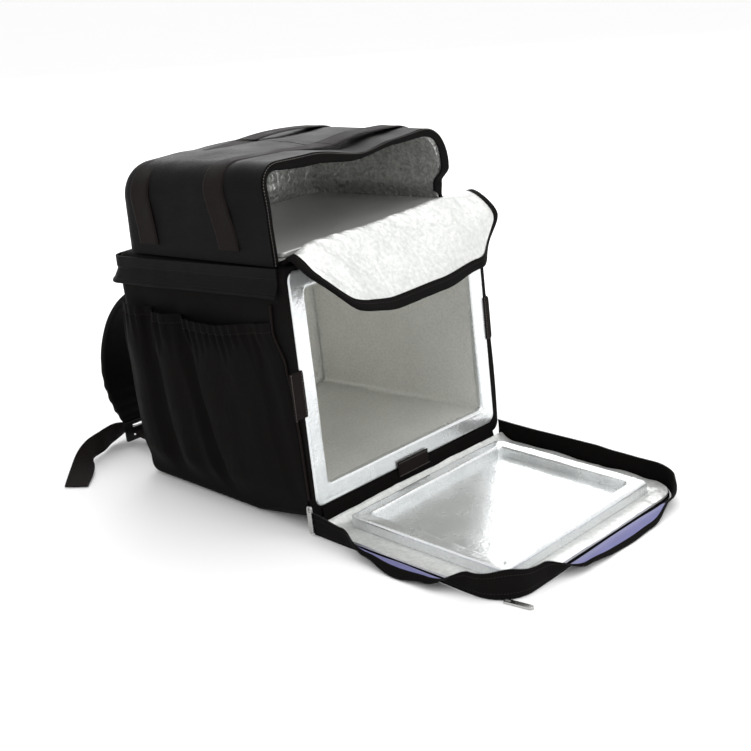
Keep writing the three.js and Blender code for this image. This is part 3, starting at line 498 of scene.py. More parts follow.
def rings_mesh(
    name: str,
    rings: np.ndarray,
    finishes: Sequence["Finish"],
    kinds: Optional[np.ndarray] = None,
    sharp: float = 50.0,
) -> bpy.types.Object:
    """A closed body through rings of points, its ends closed with fans.

    Args:
        name: Name of the object.
        rings: Rings along the first axis, in metres.
        finishes: The finishes.
        kinds: Finish number of each step between rings, or None for the first one throughout.
        sharp: Angle from which an edge is hard, in degrees.

    Returns:
        The object.
    """
    patch = quad_patch(rings, 0, wrapped=True)
    if kinds is not None:
        patch.finish = np.repeat(kinds, rings.shape[1])
        fans = [(rings[0][::-1], int(kinds[0])), (rings[-1], int(kinds[-1]))]
    else:
        fans = [(rings[0][::-1], 0), (rings[-1], 0)]
    return build_mesh(name, [patch], finishes, fans, sharp)


def outline(
    left: float, right: float, foot: float, head: float, corner: float, side: int = 44
) -> np.ndarray:
    """A rounded rectangle.

    Args:
        left: Its left side.
        right: Its right side.
        foot: Its lower side.
        head: Its upper side.
        corner: Radius of its corners.
        side: Steps along each straight side.

    Returns:
        Points with x and z, from the left side over the head: four quarter circles joined by
        straight lines.
    """
    angle = np.linspace(0.0, math.pi / 2, 9)
    places = (
        (left + corner, head - corner, math.pi), (right - corner, head - corner, math.pi / 2),
        (right - corner, foot + corner, 0.0), (left + corner, foot + corner, -math.pi / 2),
    )
    arcs = [
        np.stack([x + corner * np.cos(turn - angle), z + corner * np.sin(turn - angle)], -1)
        for x, z, turn in places
    ]
    share = np.linspace(0.0, 1.0, side + 1)[1:-1, None]
    parts = []
    for arc, after in zip(arcs, arcs[1:] + arcs[:1]):
        parts.extend([arc, mix(arc[-1], after[0], share)])
    return np.concatenate(parts)


def spread_evenly(path: np.ndarray, count: int) -> np.ndarray:
    """Spreads points evenly along a closed line.

    Args:
        path: Corners of the line, with any number of coordinates.
        count: Number of points wanted.

    Returns:
        Points on the line at even steps of its length.
    """
    closed = np.concatenate([path, path[:1]])
    length = np.concatenate([[0.0], np.cumsum(np.linalg.norm(np.diff(closed, axis=0), axis=-1))])
    spots = np.linspace(0.0, length[-1], count, endpoint=False)
    return np.stack([np.interp(spots, length, closed[:, k]) for k in range(path.shape[1])], -1)


def draw_in(depth: np.ndarray, back: float, round_: float) -> np.ndarray:
    """How far a round back edge has drawn in: its radius less its circle's height there."""
    past = np.maximum(np.asarray(depth) - (back - round_), 0.0)
    return round_ - np.sqrt(np.maximum(round_**2 - past**2, 0.0))


def section(width: float, thickness: float, corner: float, arc: int = 5) -> np.ndarray:
    """Cross section of a band with round corners.

    Args:
        width: Its width.
        thickness: Its thickness.
        corner: Radius of its corners.
        arc: Points in each corner.

    Returns:
        Points across and through the band, around it.
    """
    angle = np.linspace(0.0, math.pi / 2, arc)
    w, t = width / 2 - corner, thickness / 2 - corner
    parts = []
    for sx, sy, start in ((1, 1, 0.0), (-1, 1, 90.0), (-1, -1, 180.0), (1, -1, 270.0)):
        turn = angle + math.radians(start)
        x, y = sx * w + corner * np.cos(turn), sy * t + corner * np.sin(turn)
        parts.append(np.stack([x, y], -1))
    return np.concatenate(parts)


def tube(path: np.ndarray, radius: float, sides: int) -> np.ndarray:
    """Round rings along a line.

    Args:
        path: Points of the line.
        radius: Radius of the tube.
        sides: Points in each ring.

    Returns:
        Rings square to the line.
    """
    tangent = unit(np.gradient(path, axis=0))
    side = unit(np.cross((0.0, 1.0, 0.0), tangent))
    up = np.cross(tangent, side)
    angle = np.linspace(0.0, 2 * math.pi, sides, endpoint=False)
    return path[:, None] + radius * (
        np.cos(angle)[:, None] * side[:, None] + np.sin(angle)[:, None] * up[:, None]
    )


def stitches(
    name: str, lines: Sequence[tuple[np.ndarray, np.ndarray]], finish: "Finish",
    pitch: float = 4.5, length: float = 3.0, width: float = 0.9,
) -> bpy.types.Object:
    """Rows of stitches that lie on cloth.

    Args:
        name: Name of the object.
        lines: Each row as its points in metres and the outward direction at each of them.
        finish: Finish of the thread.
        pitch: Distance between stitches in millimetres.
        length: Length of a stitch in millimetres.
        width: Width of a stitch in millimetres.

    Returns:
        One object of small six-pointed bodies: two ends on the cloth and a square between.
    """
    faces = np.array([[0, 2, 3], [0, 3, 4], [0, 4, 5], [0, 5, 2], [1, 3, 2], [1, 4, 3], [1, 5, 4],
                      [1, 2, 5]])
    points = []
    for path, outward in lines:
        run = np.concatenate([[0.0], np.cumsum(np.linalg.norm(np.diff(path, axis=0), axis=-1))])
        spots = np.arange(pitch * MM / 2, run[-1], pitch * MM)
        at = np.stack([np.interp(spots, run, path[:, k]) for k in range(3)], -1)
        up = unit(np.stack([np.interp(spots, run, outward[:, k]) for k in range(3)], -1))
        along = unit(np.stack([np.interp(spots + 1e-4, run, path[:, k]) for k in range(3)], -1)
                     - np.stack([np.interp(spots - 1e-4, run, path[:, k]) for k in range(3)], -1))
        side = np.cross(along, up)
        half, broad = length * MM / 2, width * MM / 2
        points.append(np.stack(
            [at - half * along, at + half * along, at + broad * side, at + broad * up,
             at - broad * side, at - broad * up], axis=1))
    solids = np.concatenate(points)
    starts = (np.arange(len(solids)) * 6)[:, None, None]
    triangles = (faces[None] + starts).reshape(-1, 3)
    mesh = bpy.data.meshes.new(name)
    mesh.from_pydata(solids.reshape(-1, 3).tolist(), [], triangles.tolist())
    mesh.materials.append(finish.material())
    mesh.update()
    face_outward(mesh)
    return link(name, mesh)


def seam(
    face: np.ndarray, square: np.ndarray, row: int | tuple[slice, int], rise: float | np.ndarray
) -> tuple[np.ndarray, np.ndarray]:
    """A line of stitches along a row of a sheet, moved out by its rise, and its directions."""
    return face[row] + rise * square[row], square[row]


def rounded(spot: np.ndarray, power: int, least: float) -> np.ndarray:
    """Share of a band's thickness near its edges: the root of one less the place's power."""
    return np.sqrt(np.maximum(1.0 - spot**power, least))


def place(piece: bpy.types.Object, slot: str, *nodes: str) -> bpy.types.Object:
    """Fixes a piece to the bag and names what it stands for.

    Args:
        piece: The piece.
        slot: Material slot of the record. It is not used.
        nodes: Plain solids that it stands for.

    Returns:
        The piece.
    """
    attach(piece, ROOT)
    if nodes:
        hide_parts(*nodes)
    faces = len(piece.data.polygons)
    log.info("%s: %d faces, stands for %s", piece.name, faces, ", ".join(nodes) or "nothing")
    return piece


# Finishes


def linear(colour: str) -> tuple[float, float, float, float]:
    """A colour code as light strengths, by the sRGB curve, with 1 as its fourth part."""
    parts = [int(colour[i:i + 2], 16) / 255.0 for i in (1, 3, 5)]
    lit = [c / 12.92 if c <= 0.04045 else ((c + 0.055) / 1.055) ** 2.4 for c in parts]
    return (lit[0], lit[1], lit[2], 1.0)


def add_node(
    tree: bpy.types.NodeTree, kind: str, settings: dict | None = None, **inputs: object
) -> bpy.types.Node:
    """Adds a shader node with its settings and links.

    Args:
        tree: Tree that takes it.
        kind: Type of the node.
        settings: Attributes to set on it.
        inputs: Input sockets by name, with underscores for spaces, each a socket to link or a
            value. A name of the form in_0 counts the inputs.

    Returns:
        The node.
    """
    node = tree.nodes.new(kind)
    for key, value in (settings or {}).items():
        setattr(node, key, value)
    for key, value in inputs.items():
        index = int(key[3:]) if key.startswith("in_") else key.replace("_", " ")
        socket = node.inputs[index]
        if isinstance(value, bpy.types.NodeSocket):
            tree.links.new(value, socket)
        else:
            socket.default_value = value
    return node


@dataclass(frozen=True)
class Finish:
    """A matt or metallic surface: weave, creases, a soft change of tone and painted crease shade.
    """

    name: str
    colour: str
    # Dark end of the slow change of tone, also the painted shade in the folds of the creases
    dark: str
    roughness: float
    metallic: float = 0.0
    shine: float = 0.5
    weave_mm: float = 0.0
    weave_depth_mm: float = 0.0
    twill: bool = False
    crease_mm: float = 0.0
    crease_depth_mm: float = 0.0
    crease_painted_shade: float = 0.0
    mottle_mm: float = 60.0

    def material(self) -> bpy.types.Material:
        """Makes the material, or gives back the one that is made.

        Returns:
            A material whose colour moves between its dark and its full shade with slow noise in
            space, whose weave is two crossed waves over the cut's flat size, and whose creases are
            the edges between scattered cells. Where the crease shade is set, the colour also takes
            painted shade in the small wrinkles' folds and a painted highlight on their ridges.
        """
        made = bpy.data.materials.get(self.name)
        if made is not None:
            return made
        made = bpy.data.materials.new(self.name)
        made.use_nodes = True
        tree = made.node_tree
        tree.nodes.clear()
        where = add_node(tree, "ShaderNodeTexCoord")
        slow = add_node(
            tree, "ShaderNodeTexNoise", Vector=where.outputs["Object"],
            Scale=1.0 / (self.mottle_mm * MM), Detail=4.0, Roughness=0.6,
        )
        normal, share = None, slow.outputs["Fac"]
        # Small wrinkles add painted shade in their folds and a painted highlight on their ridges,
        # mixed with the slow change of tone by the crease shade share
        if self.crease_mm > 0.0:
            normal, wrinkle = self._creased(tree, where.outputs["Object"])
            share = add_node(
                tree, "ShaderNodeMix", {"data_type": "FLOAT"}, in_0=self.crease_painted_shade, in_2=share,
                in_3=wrinkle,
            ).outputs[0]
        shade = add_node(
            tree, "ShaderNodeMix", {"data_type": "RGBA"}, in_0=share,
            in_6=linear(self.dark), in_7=linear(self.colour),
        )
        if self.weave_mm > 0.0:
            normal = self._woven(tree, where.outputs["UV"], normal)
        rough = add_node(
            tree, "ShaderNodeMapRange", in_0=slow.outputs["Fac"], in_1=0.3, in_2=0.7,
            in_3=max(self.roughness - 0.06, 0.02), in_4=min(self.roughness + 0.06, 1.0),
        )
        values: dict[str, object] = {
            "Base_Color": shade.outputs[2],
            "Roughness": rough.outputs[0],
            "Metallic": self.metallic,
            "Specular_IOR_Level": self.shine,
        }
        if normal is not None:
            values["Normal"] = normal
        shader = add_node(tree, "ShaderNodeBsdfPrincipled", **values)
        add_node(tree, "ShaderNodeOutputMaterial", Surface=shader.outputs["BSDF"])
        return made

    def _creased(
        self, tree: bpy.types.NodeTree, spot: bpy.types.NodeSocket
    ) -> tuple[bpy.types.NodeSocket, bpy.types.NodeSocket]:
        """Adds fine creases.

        Args:
            tree: The material's tree.
            spot: Where the pattern is read.

        Returns:
            The turned normal: heights are the distance to the second nearest of scattered points
            less that to the nearest, at places shifted by noise. With it comes the share of
            painted shade over the small wrinkles, from 0, painted dark in their folds, to 1,
            painted bright on their ridges.
        """
        scale = 1.0 / (self.crease_mm * MM)
        drift = add_node(tree, "ShaderNodeTexNoise", Vector=spot, Scale=0.6 * scale, Detail=3.0)
        moved = add_node(
            tree, "ShaderNodeMix", {"data_type": "VECTOR"}, in_0=0.02, in_4=spot,
            in_5=drift.outputs["Color"],
        )
        cells = add_node(
            tree, "ShaderNodeTexVoronoi", {"feature": "DISTANCE_TO_EDGE"},
            Vector=moved.outputs[1], Scale=scale,
        )
        wrinkle = add_node(
            tree, "ShaderNodeTexNoise", Vector=spot, Scale=2.2 * scale, Detail=5.0
        )
        total = add_node(
            tree, "ShaderNodeMath", {"operation": "ADD"}, in_0=cells.outputs["Distance"],
            in_1=wrinkle.outputs["Fac"],
        )
        turned = add_node(
            tree, "ShaderNodeBump", Height=total.outputs[0], Strength=0.7,
            Distance=self.crease_depth_mm * MM,
        )
        painted_shade = add_node(
            tree, "ShaderNodeMapRange", in_0=wrinkle.outputs["Fac"], in_1=0.36, in_2=0.64,
        )
        return turned.outputs["Normal"], painted_shade.outputs[0]

    def _woven(
        self, tree: bpy.types.NodeTree, flat: bpy.types.NodeSocket,
        normal: Optional[bpy.types.NodeSocket],
    ) -> bpy.types.NodeSocket:
        """Adds the weave.

        Args:
            tree: The material's tree.
            flat: Place on the cut in metres.
            normal: Normal that is turned further, or None.

        Returns:
            The turned normal: heights are two crossed sine waves, or one slanted pair for a twill.
        """
        scale = math.pi / (10.0 * self.weave_mm * MM)
        directions = (("DIAGONAL", 1.0), ("X", 1.6)) if self.twill else (("X", 1.0), ("Y", 1.0))
        waves = [
            add_node(
                tree, "ShaderNodeTexWave", {"wave_type": "BANDS", "bands_direction": direction},
                Vector=flat, Scale=factor * scale, Distortion=0.3, Detail=1.0,
            )
            for direction, factor in directions
        ]
        height = add_node(
            tree, "ShaderNodeMath", {"operation": "ADD"}, in_0=waves[0].outputs["Fac"],
            in_1=waves[1].outputs["Fac"],
        )
        values: dict[str, object] = {
            "Height": height.outputs[0], "Strength": 0.6, "Distance": self.weave_depth_mm * MM,
        }
        if normal is not None:
            values["Normal"] = normal
        return add_node(tree, "ShaderNodeBump", **values).outputs["Normal"]


# Coated pack nylon, woven: near black and matt, its fibres shading most of the shine. The real
# weave of 0.4 mm is drawn at 1.4 mm to be seen.
NYLON = Finish("Coated_nylon", "#110f0e", "#070606", 0.72, shine=0.05, weave_mm=1.4,
               weave_depth_mm=0.2, mottle_mm=70.0)
# The upper compartment's nylon, calendered: a little smoother, so its top takes more sheen.
HOOD_NYLON = Finish("Hood_nylon", "#0d0b0b", "#070606", 0.5, shine=0.05, weave_mm=1.4,
                    weave_depth_mm=0.2, mottle_mm=90.0)
# Polypropylene webbing, woven: brownish black with slanted ribs that catch the light.
WEBBING = Finish("Polypropylene_webbing", "#1d1716", "#130f0e", 0.62, shine=0.06, weave_mm=2.2,
                 weave_depth_mm=0.4, twill=True, mottle_mm=40.0)
# Satin aluminium foil glued over foam: bright, with soft creases that break up its reflections,
# and painted shade in the folds of its small wrinkles.
FOIL = Finish("Foil_over_foam", "#f0f1f1", "#d5d9da", 0.26, metallic=0.75, crease_mm=10.0,
              crease_depth_mm=0.3, crease_painted_shade=0.3, mottle_mm=80.0)
# The same foil inside the cabin, under a clear film: duller, with a fine grain of wrinkles
# whose folds carry painted shade.
CABIN_FOIL = Finish("Cabin_foil", "#f8f8f4", "#d2d2cd", 0.34, metallic=0.45, crease_mm=9.0,
                    crease_depth_mm=1.2, crease_painted_shade=0.3, mottle_mm=120.0)
# Thin loose foil of the upper compartment, crumpled: painted shade darkens its small folds and a
# painted highlight brightens their ridges.
LINING_FOIL = Finish("Crumpled_foil_lining", "#f4f4f1", "#8f908d", 0.26, metallic=0.55,
                     crease_mm=12.0, crease_depth_mm=2.6, crease_painted_shade=0.45, mottle_mm=70.0)
# The board's foil, pressed flat, so that it shades evenly.
BOARD_FOIL = Finish("Pressed_foil", "#c9cac7", "#b2b3b0", 0.34, metallic=0.5, crease_mm=20.0,
                    crease_depth_mm=0.25, mottle_mm=90.0)
# Foil-faced cloth of the flap, the door lining and the cabin's seam: white, with hair creases
# whose folds carry painted shade.
FLAP_CLOTH = Finish("Foil_faced_cloth", "#e2e3e0", "#c3c5c3", 0.34, metallic=0.4, crease_mm=14.0,
                    crease_depth_mm=1.0, crease_painted_shade=0.5, mottle_mm=40.0)
# Coated violet cloth on the inner side of the door's zip band: satin, its weave half filled.
VIOLET = Finish("Coated_band_cloth", "#73739f", "#5d5d88", 0.5, shine=0.4, weave_mm=1.4,
                weave_depth_mm=0.15, mottle_mm=50.0)
# Spun polyester thread, a little paler than the cloth so that the seams show.
THREAD = Finish("Polyester_thread", "#322e2c", "#262321", 0.7, shine=0.15, mottle_mm=30.0)
# The same thread undyed, for the two seams that stand out.
PALE_THREAD = Finish("Pale_thread", "#8f8c87", "#75726d", 0.7, shine=0.3, mottle_mm=30.0)
# Cast zinc of the zip pulls: bright and slightly worn.
ZINC = Finish("Cast_zinc", "#c4c4c2", "#a9a9a7", 0.28, metallic=1.0, mottle_mm=8.0)
# Moulded black nylon of the buckles and zip teeth: satin.
PLASTIC = Finish("Moulded_plastic", "#101010", "#0a0a0a", 0.42, shine=0.3, mottle_mm=20.0)
# Uncoated paper of the floor: white and matt.
PAPER = Finish("Floor_paper", "#fdfdfd", "#fbfbfb", 0.95, shine=0.1, mottle_mm=400.0)


# Forms that several pieces follow


def floor_at(depth: np.ndarray) -> np.ndarray:
    """Height of the floor under the leaning bag: the depth less the whole, times its slope."""
    return (np.asarray(depth, float) - DEPTH) * math.tan(LEAN)


def shell_foot(depth: np.ndarray) -> np.ndarray:
    """Height of the shell's foot: the floor plus 22 mm that fade over the front 130 mm."""
    return floor_at(depth) + 22.0 * np.maximum(1.0 - np.asarray(depth, float) / 130.0, 0.0)


PIPING_LINE = Table(
    ("height", "depth"),
    ((0.0, 0.08), (0.28, 0.12), (0.5, 0.22), (0.62, 0.42), (0.76, 0.95), (0.87, 0.9), (1.0, 0.2)),
)


def piping_depth(z: np.ndarray) -> np.ndarray:
    """Depth of the piping: 3 mm plus its line's share of 34 mm at each height."""
    foot = float(shell_foot(0.0))
    share = np.clip((np.asarray(z, float) - foot) / (SHELL_HEAD - foot), 0.0, 1.0)
    return 3.0 + 34.0 * PIPING_LINE.read("depth", share)


def around(
    share: np.ndarray, half: float, length: float, corner: float, out: np.ndarray
) -> tuple[np.ndarray, np.ndarray]:
    """A path around three sides of a rounded rectangle.

    Args:
        share: Share of the path, from its open end along the left side and back on the right.
        half: Half of the width.
        length: Length of the sides.
        corner: Radius of the two corners.
        out: How far the path is moved out.

    Returns:
        x and y: two straight sides, two quarter circles and the far side, an even share of each
        part between fixed knots.
    """
    knots = np.array([0.0, 0.3, 0.38, 0.62, 0.7, 1.0])
    share, out = np.broadcast_arrays(np.asarray(share, float), np.asarray(out, float))
    span = np.clip(np.searchsorted(knots, share, side="left") - 1, 0, 4)
    t = (share - knots[span]) / (knots[span + 1] - knots[span])
    angle = t * math.pi / 2
    in_x, in_y, radius = half - corner, length - corner, corner + out
    x = np.choose(span, [
        -half - out, -in_x - radius * np.cos(angle), mix(-in_x, in_x, t),
        in_x + radius * np.sin(angle), half + out,
    ])
    y = np.choose(span, [
        t * in_y, in_y + radius * np.sin(angle), length + out, in_y + radius * np.cos(angle),
        (1.0 - t) * in_y,
    ])
    return x, y


HOOD_RIM = Table(
    ("along", "set_back", "sink", "inward"),
    (
        (0.0, 0.01, 0.0, -0.02), (0.14, 0.03, 0.0, 0.0), (0.3, 0.055, -0.02, 0.0),
        (0.4, 0.06, -0.01, 0.0), (0.52, 0.06, 0.12, 0.0), (0.6, 0.065, 0.06, 0.0),
        (0.68, 0.07, 0.03, 0.0), (0.8, 0.08, 0.02, 0.04), (0.88, 0.12, 0.0, 0.07),
        (0.95, 0.14, 0.0, 0.04), (1.0, 0.02, 0.0, 0.0),
    ),
)


@dataclass(frozen=True)
class HoodForm:
    """The arch of the soft upper compartment, in millimetres."""

    half: float = 212.0
    foot: float = 372.8
    height: float = 139.0
    depth: float = 368.0
    mouth: float = 16.0
    taper: float = 6.0
    left_rim: float = 36.0
    left_back: float = 52.0
    right_rim: float = 64.0
    right_back: float = 54.0
    shoulder_inset: float = 12.0

    def point(
        self, along: np.ndarray, deep: np.ndarray, inset: np.ndarray, lift: np.ndarray = 0.0
    ) -> np.ndarray:
        """Points of the arch.

        Args:
            along: Share along the arch from its left foot.
            deep: Share of the depth from the rim to the back.
            inset: How far inside the outer face.
            lift: How far its feet are raised.

        Returns:
            Bag points: an upright wall, a round shoulder, the top, a second shoulder and the right
            wall, less the rim's sag and lean, which fade with the square of the depth.
        """
        along, deep, inset, lift = np.broadcast_arrays(
            *(np.asarray(value, float) for value in (along, deep, inset, lift))
        )
        left = mix(self.left_rim, self.left_back, deep)
        right = mix(self.right_rim, self.right_back, deep)
        drawn = np.minimum(inset, self.shoulder_inset)
        a, b = left - drawn, right - drawn
        half, head = self.half - inset, self.foot + self.height - inset
        knots = np.array([0.0, 0.22, 0.33, 0.67, 0.78, 1.0])
        span = np.clip(np.searchsorted(knots, along, side="left") - 1, 0, 4)
        t = (along - knots[span]) / (knots[span + 1] - knots[span])
        quarter = t * math.pi / 2
        x = np.choose(span, [
            -half, -half + a * (1 - np.cos(quarter)), mix(-half + a, half - b, t),
            half - b * (1 - np.sin(quarter)), half,
        ])
        z = np.choose(span, [
            mix(self.foot + lift, head - a, t), head - a * (1 - np.sin(quarter)), head,
            head - b * (1 - np.cos(quarter)), mix(head - b, self.foot + lift, t),
        ])
        height = (z - self.foot) / self.height
        low = knots[1] * (z - self.foot)
        spot = np.choose(span, [
            low / (self.height - left), along, along, along, 1.0 - low / (self.height - right),
        ])
        slack = (1.0 - deep) ** 2
        sink = HOOD_RIM.read("sink", spot) * slack * self.height
        inward = HOOD_RIM.read("inward", spot) * slack * self.height
        rim = self.mouth + self.depth * HOOD_RIM.read("set_back", spot)
        return np.stack([
            x - np.sign(x) * (self.taper * height + inward), mix(rim, self.depth, deep),
            z - sink - self.taper * deep * height,
        ], axis=-1)

    def ring(self, depth: float, inset: float, arch: int = 180, floor: int = 40) -> np.ndarray:
        """One closed ring of the compartment.

        Args:
            depth: Depth of the ring.
            inset: How far inside the outer face.
            arch: Points along the arch.
            floor: Points along the floor.

        Returns:
            Its arch from the left to the right foot, then its floor back to the left.
        """
        deep = (depth - self.mouth) / (self.depth - self.mouth)
        upper = self.point(np.linspace(0.0, 1.0, arch), deep, inset, inset)
        x = np.linspace(self.half - inset, inset - self.half, floor + 1)[1:-1]
        set_back = self.depth * 0.01 * (1.0 - deep)
        lower = np.stack([
            x, np.full_like(x, depth + set_back), np.full_like(x, self.foot + max(inset, 0.0)),
        ], -1)
        return np.concatenate([upper, lower])


HOOD = HoodForm()


def hood_slack(points: np.ndarray) -> np.ndarray:
    """How far the upper compartment's cloth hangs in or out.

    Args:
        points: Bag points in millimetres.

    Returns:
        Millimetres along its outward normal: slow noise and creases, gone at its foot and rim, and
        a shallow dent across the top between the handles.
    """
    x, y, z = np.moveaxis(points, -1, 0)
    free = smoothstep(z, 385.0, 430.0) * smoothstep(y, 40.0, 110.0)
    waves = 2.0 * noise(points, 85.0, 5) + 0.6 * noise(points, 34.0, 6)
    folds = 0.9 * creases(points * (1.0, 0.6, 0.5), 70.0, 7)
    top = smoothstep(z, 480.0, 500.0)
    dent = -5.0 * top * bump(y - 215.0, 45.0) * bump(x + 20.0, 110.0)
    return free * (waves + folds + dent - 1.0)


FLAP_LINE = Table(
    ("across", "crest", "belly", "reach", "drop"),
    (
        (0.0, 0.5, 0.42, 0.9, 0.66), (0.12, 0.85, 0.45, 1.0, 0.92), (0.3, 0.9, 0.45, 1.0, 1.03),
        (0.55, 0.95, 0.44, 0.98, 1.02), (0.8, 1.1, 0.5, 0.82, 0.97), (1.0, 1.05, 0.55, 0.4, 0.85),
    ),
)


@dataclass(frozen=True)
class FlapForm:
    """The folded-out flap's upper face, in millimetres."""

    width: float = 392.0
    length: float = 164.0
    corner: float = 62.0
    thickness: float = 7.0
    edge: float = 9.0
    crest: float = 29.0
    drop: float = 106.0
    reach: float = 92.0
    hinge: float = 5.9
    belly_height: float = 0.4

    def point(self, x: np.ndarray, length: np.ndarray) -> np.ndarray:
        """Points of the flap's upper face.

        Args:
            x: Places across the flap.
            length: Lengths down the flap from its hinge.

        Returns:
            Bag points on a smooth curve at each place across: from the hinge over the crest and
            down in front of the box.
        """
        x, length = np.broadcast_arrays(np.asarray(x, float), np.asarray(length, float))
        across = np.clip(x / (self.width + 2 * self.edge) + 0.5, 0.0, 1.0)
        ridge = HOOD.foot + self.crest * FLAP_LINE.read("crest", across)
        belly = self.reach * FLAP_LINE.read("belly", across)
        reach = self.reach * FLAP_LINE.read("reach", across)
        tip = HOOD.foot + self.crest - self.drop * FLAP_LINE.read("drop", across)
        line = (
            (HOOD.mouth - GAP, SHELL_HEAD + GAP + self.hinge), (0.0, ridge),
            (-belly, mix(ridge, tip, self.belly_height)), (-reach, tip),
        )
        knots = np.stack([
            np.stack(np.broadcast_arrays(x, y, z), -1).reshape(-1, 3) for y, z in line
        ])
        share = length.ravel() / (self.length + GAP + self.edge)
        return curve(knots, share).reshape(x.shape + (3,))

    def up(self, grid: np.ndarray) -> np.ndarray:
        """Directions through the flap: its normals over a grid, kept square to x."""
        normals = grid_normals(grid)
        normals[..., 0] = 0.0
        return unit(normals)


FLAP = FlapForm()


# Sub-assemblies


@dataclass(frozen=True)
class Shell:
    """The black shell around the silver box, with the piping at both sides."""

    back_round: float = 24.0
    corner: float = 16.0
    box_corner: float = 15.0
    front: float = 1.0
    box_depth: float = 380.4
    right_belly: float = 5.0
    right_wall: float = 200.0
    slack: float = 1.3
    piping: float = 2.0
    piping_foot: float = 26.0
    piping_head: float = 318.4

    def build(self) -> None:
        """Builds the shell and both lines of piping."""
        place(self.shell(), "nylon", "outer_shell")
        for side in Side:
            place(self.cord(side), "webbing", f"piping_{side.name.lower()}")

    def ring(self, depth: float, inset: float) -> np.ndarray:
        """One outer ring.

        Args:
            depth: Its depth.
            inset: How far it is drawn in.

        Returns:
            Bag points of a rounded rectangle whose foot follows the floor.
        """
        foot = float(shell_foot(depth)) + inset
        flat = outline(-SHELL_HALF + inset, SHELL_HALF - inset, foot, SHELL_HEAD - inset,
                       self.corner)
        return np.insert(flat, 1, depth, axis=1)

    def shell(self) -> bpy.types.Object:
        """The shell: outer rings from its back to its mouth, then inner ones to its back wall.

        Returns:
            The object. Its cloth hangs a little in and out by slow noise, and its right wall
            bellies out low down by a bell-shaped bump.
        """
        even = np.linspace(self.front, DEPTH - self.back_round, 56)
        turn = np.sin(np.linspace(0.1, 1.0, 9) * math.pi / 2)
        turn = DEPTH - self.back_round + self.back_round * turn
        outer = np.stack([
            self.ring(depth, float(draw_in(depth, DEPTH, self.back_round)))
            for depth in np.concatenate([even, turn])[::-1]
        ])
        outer = np.concatenate([shrunk(outer[0], np.linspace(0.03, 0.96, 20)), outer])
        square = grid_normals(outer, wrapped=True)
        x, y, z = np.moveaxis(outer, -1, 0)
        # Loose from the foot's seam up to the skirt, and behind the mouth
        loose = smoothstep(z, 4.0, 50.0) * smoothstep(y, 1.0, 40.0)
        loose = loose * (1 - smoothstep(z, 300.0, 340.0))
        waves = loose * self.slack * (noise(outer, 70.0, 21) + 0.5 * noise(outer, 26.0, 22))
        outer = outer + waves[..., None] * square
        belly = bump(z - 90.0, 75.0) * bump(y - 60.0, 120.0) * (x > self.right_wall)
        outer[..., 0] += self.right_belly * belly
        inner_flat = outline(-BOX_HALF - GAP, BOX_HALF + GAP, BASE_PAD - GAP, BOX_HEAD + GAP,
                             self.box_corner)
        depths = np.linspace(self.front, self.box_depth, 12)
        inner = np.stack([np.insert(inner_flat, 1, depth, axis=1) for depth in depths])
        return rings_mesh("outer_shell_cloth", lean(np.concatenate([outer, inner])), [NYLON])

    def cord(self, side: Side) -> bpy.types.Object:
        """Piping cord up one side.

        Args:
            side: The side.

        Returns:
            A round cord beside the shell's wall at the depths of the piping line.
        """
        z = np.linspace(self.piping_foot, self.piping_head, 120)
        x = np.full_like(z, side.value * (SHELL_HALF + GAP + self.piping))
        path = np.stack([x, piping_depth(z), z], -1)
        name = f"piping_cord_{side.name.lower()}"
        return rings_mesh(name, lean(tube(path, self.piping, 12)), [WEBBING])


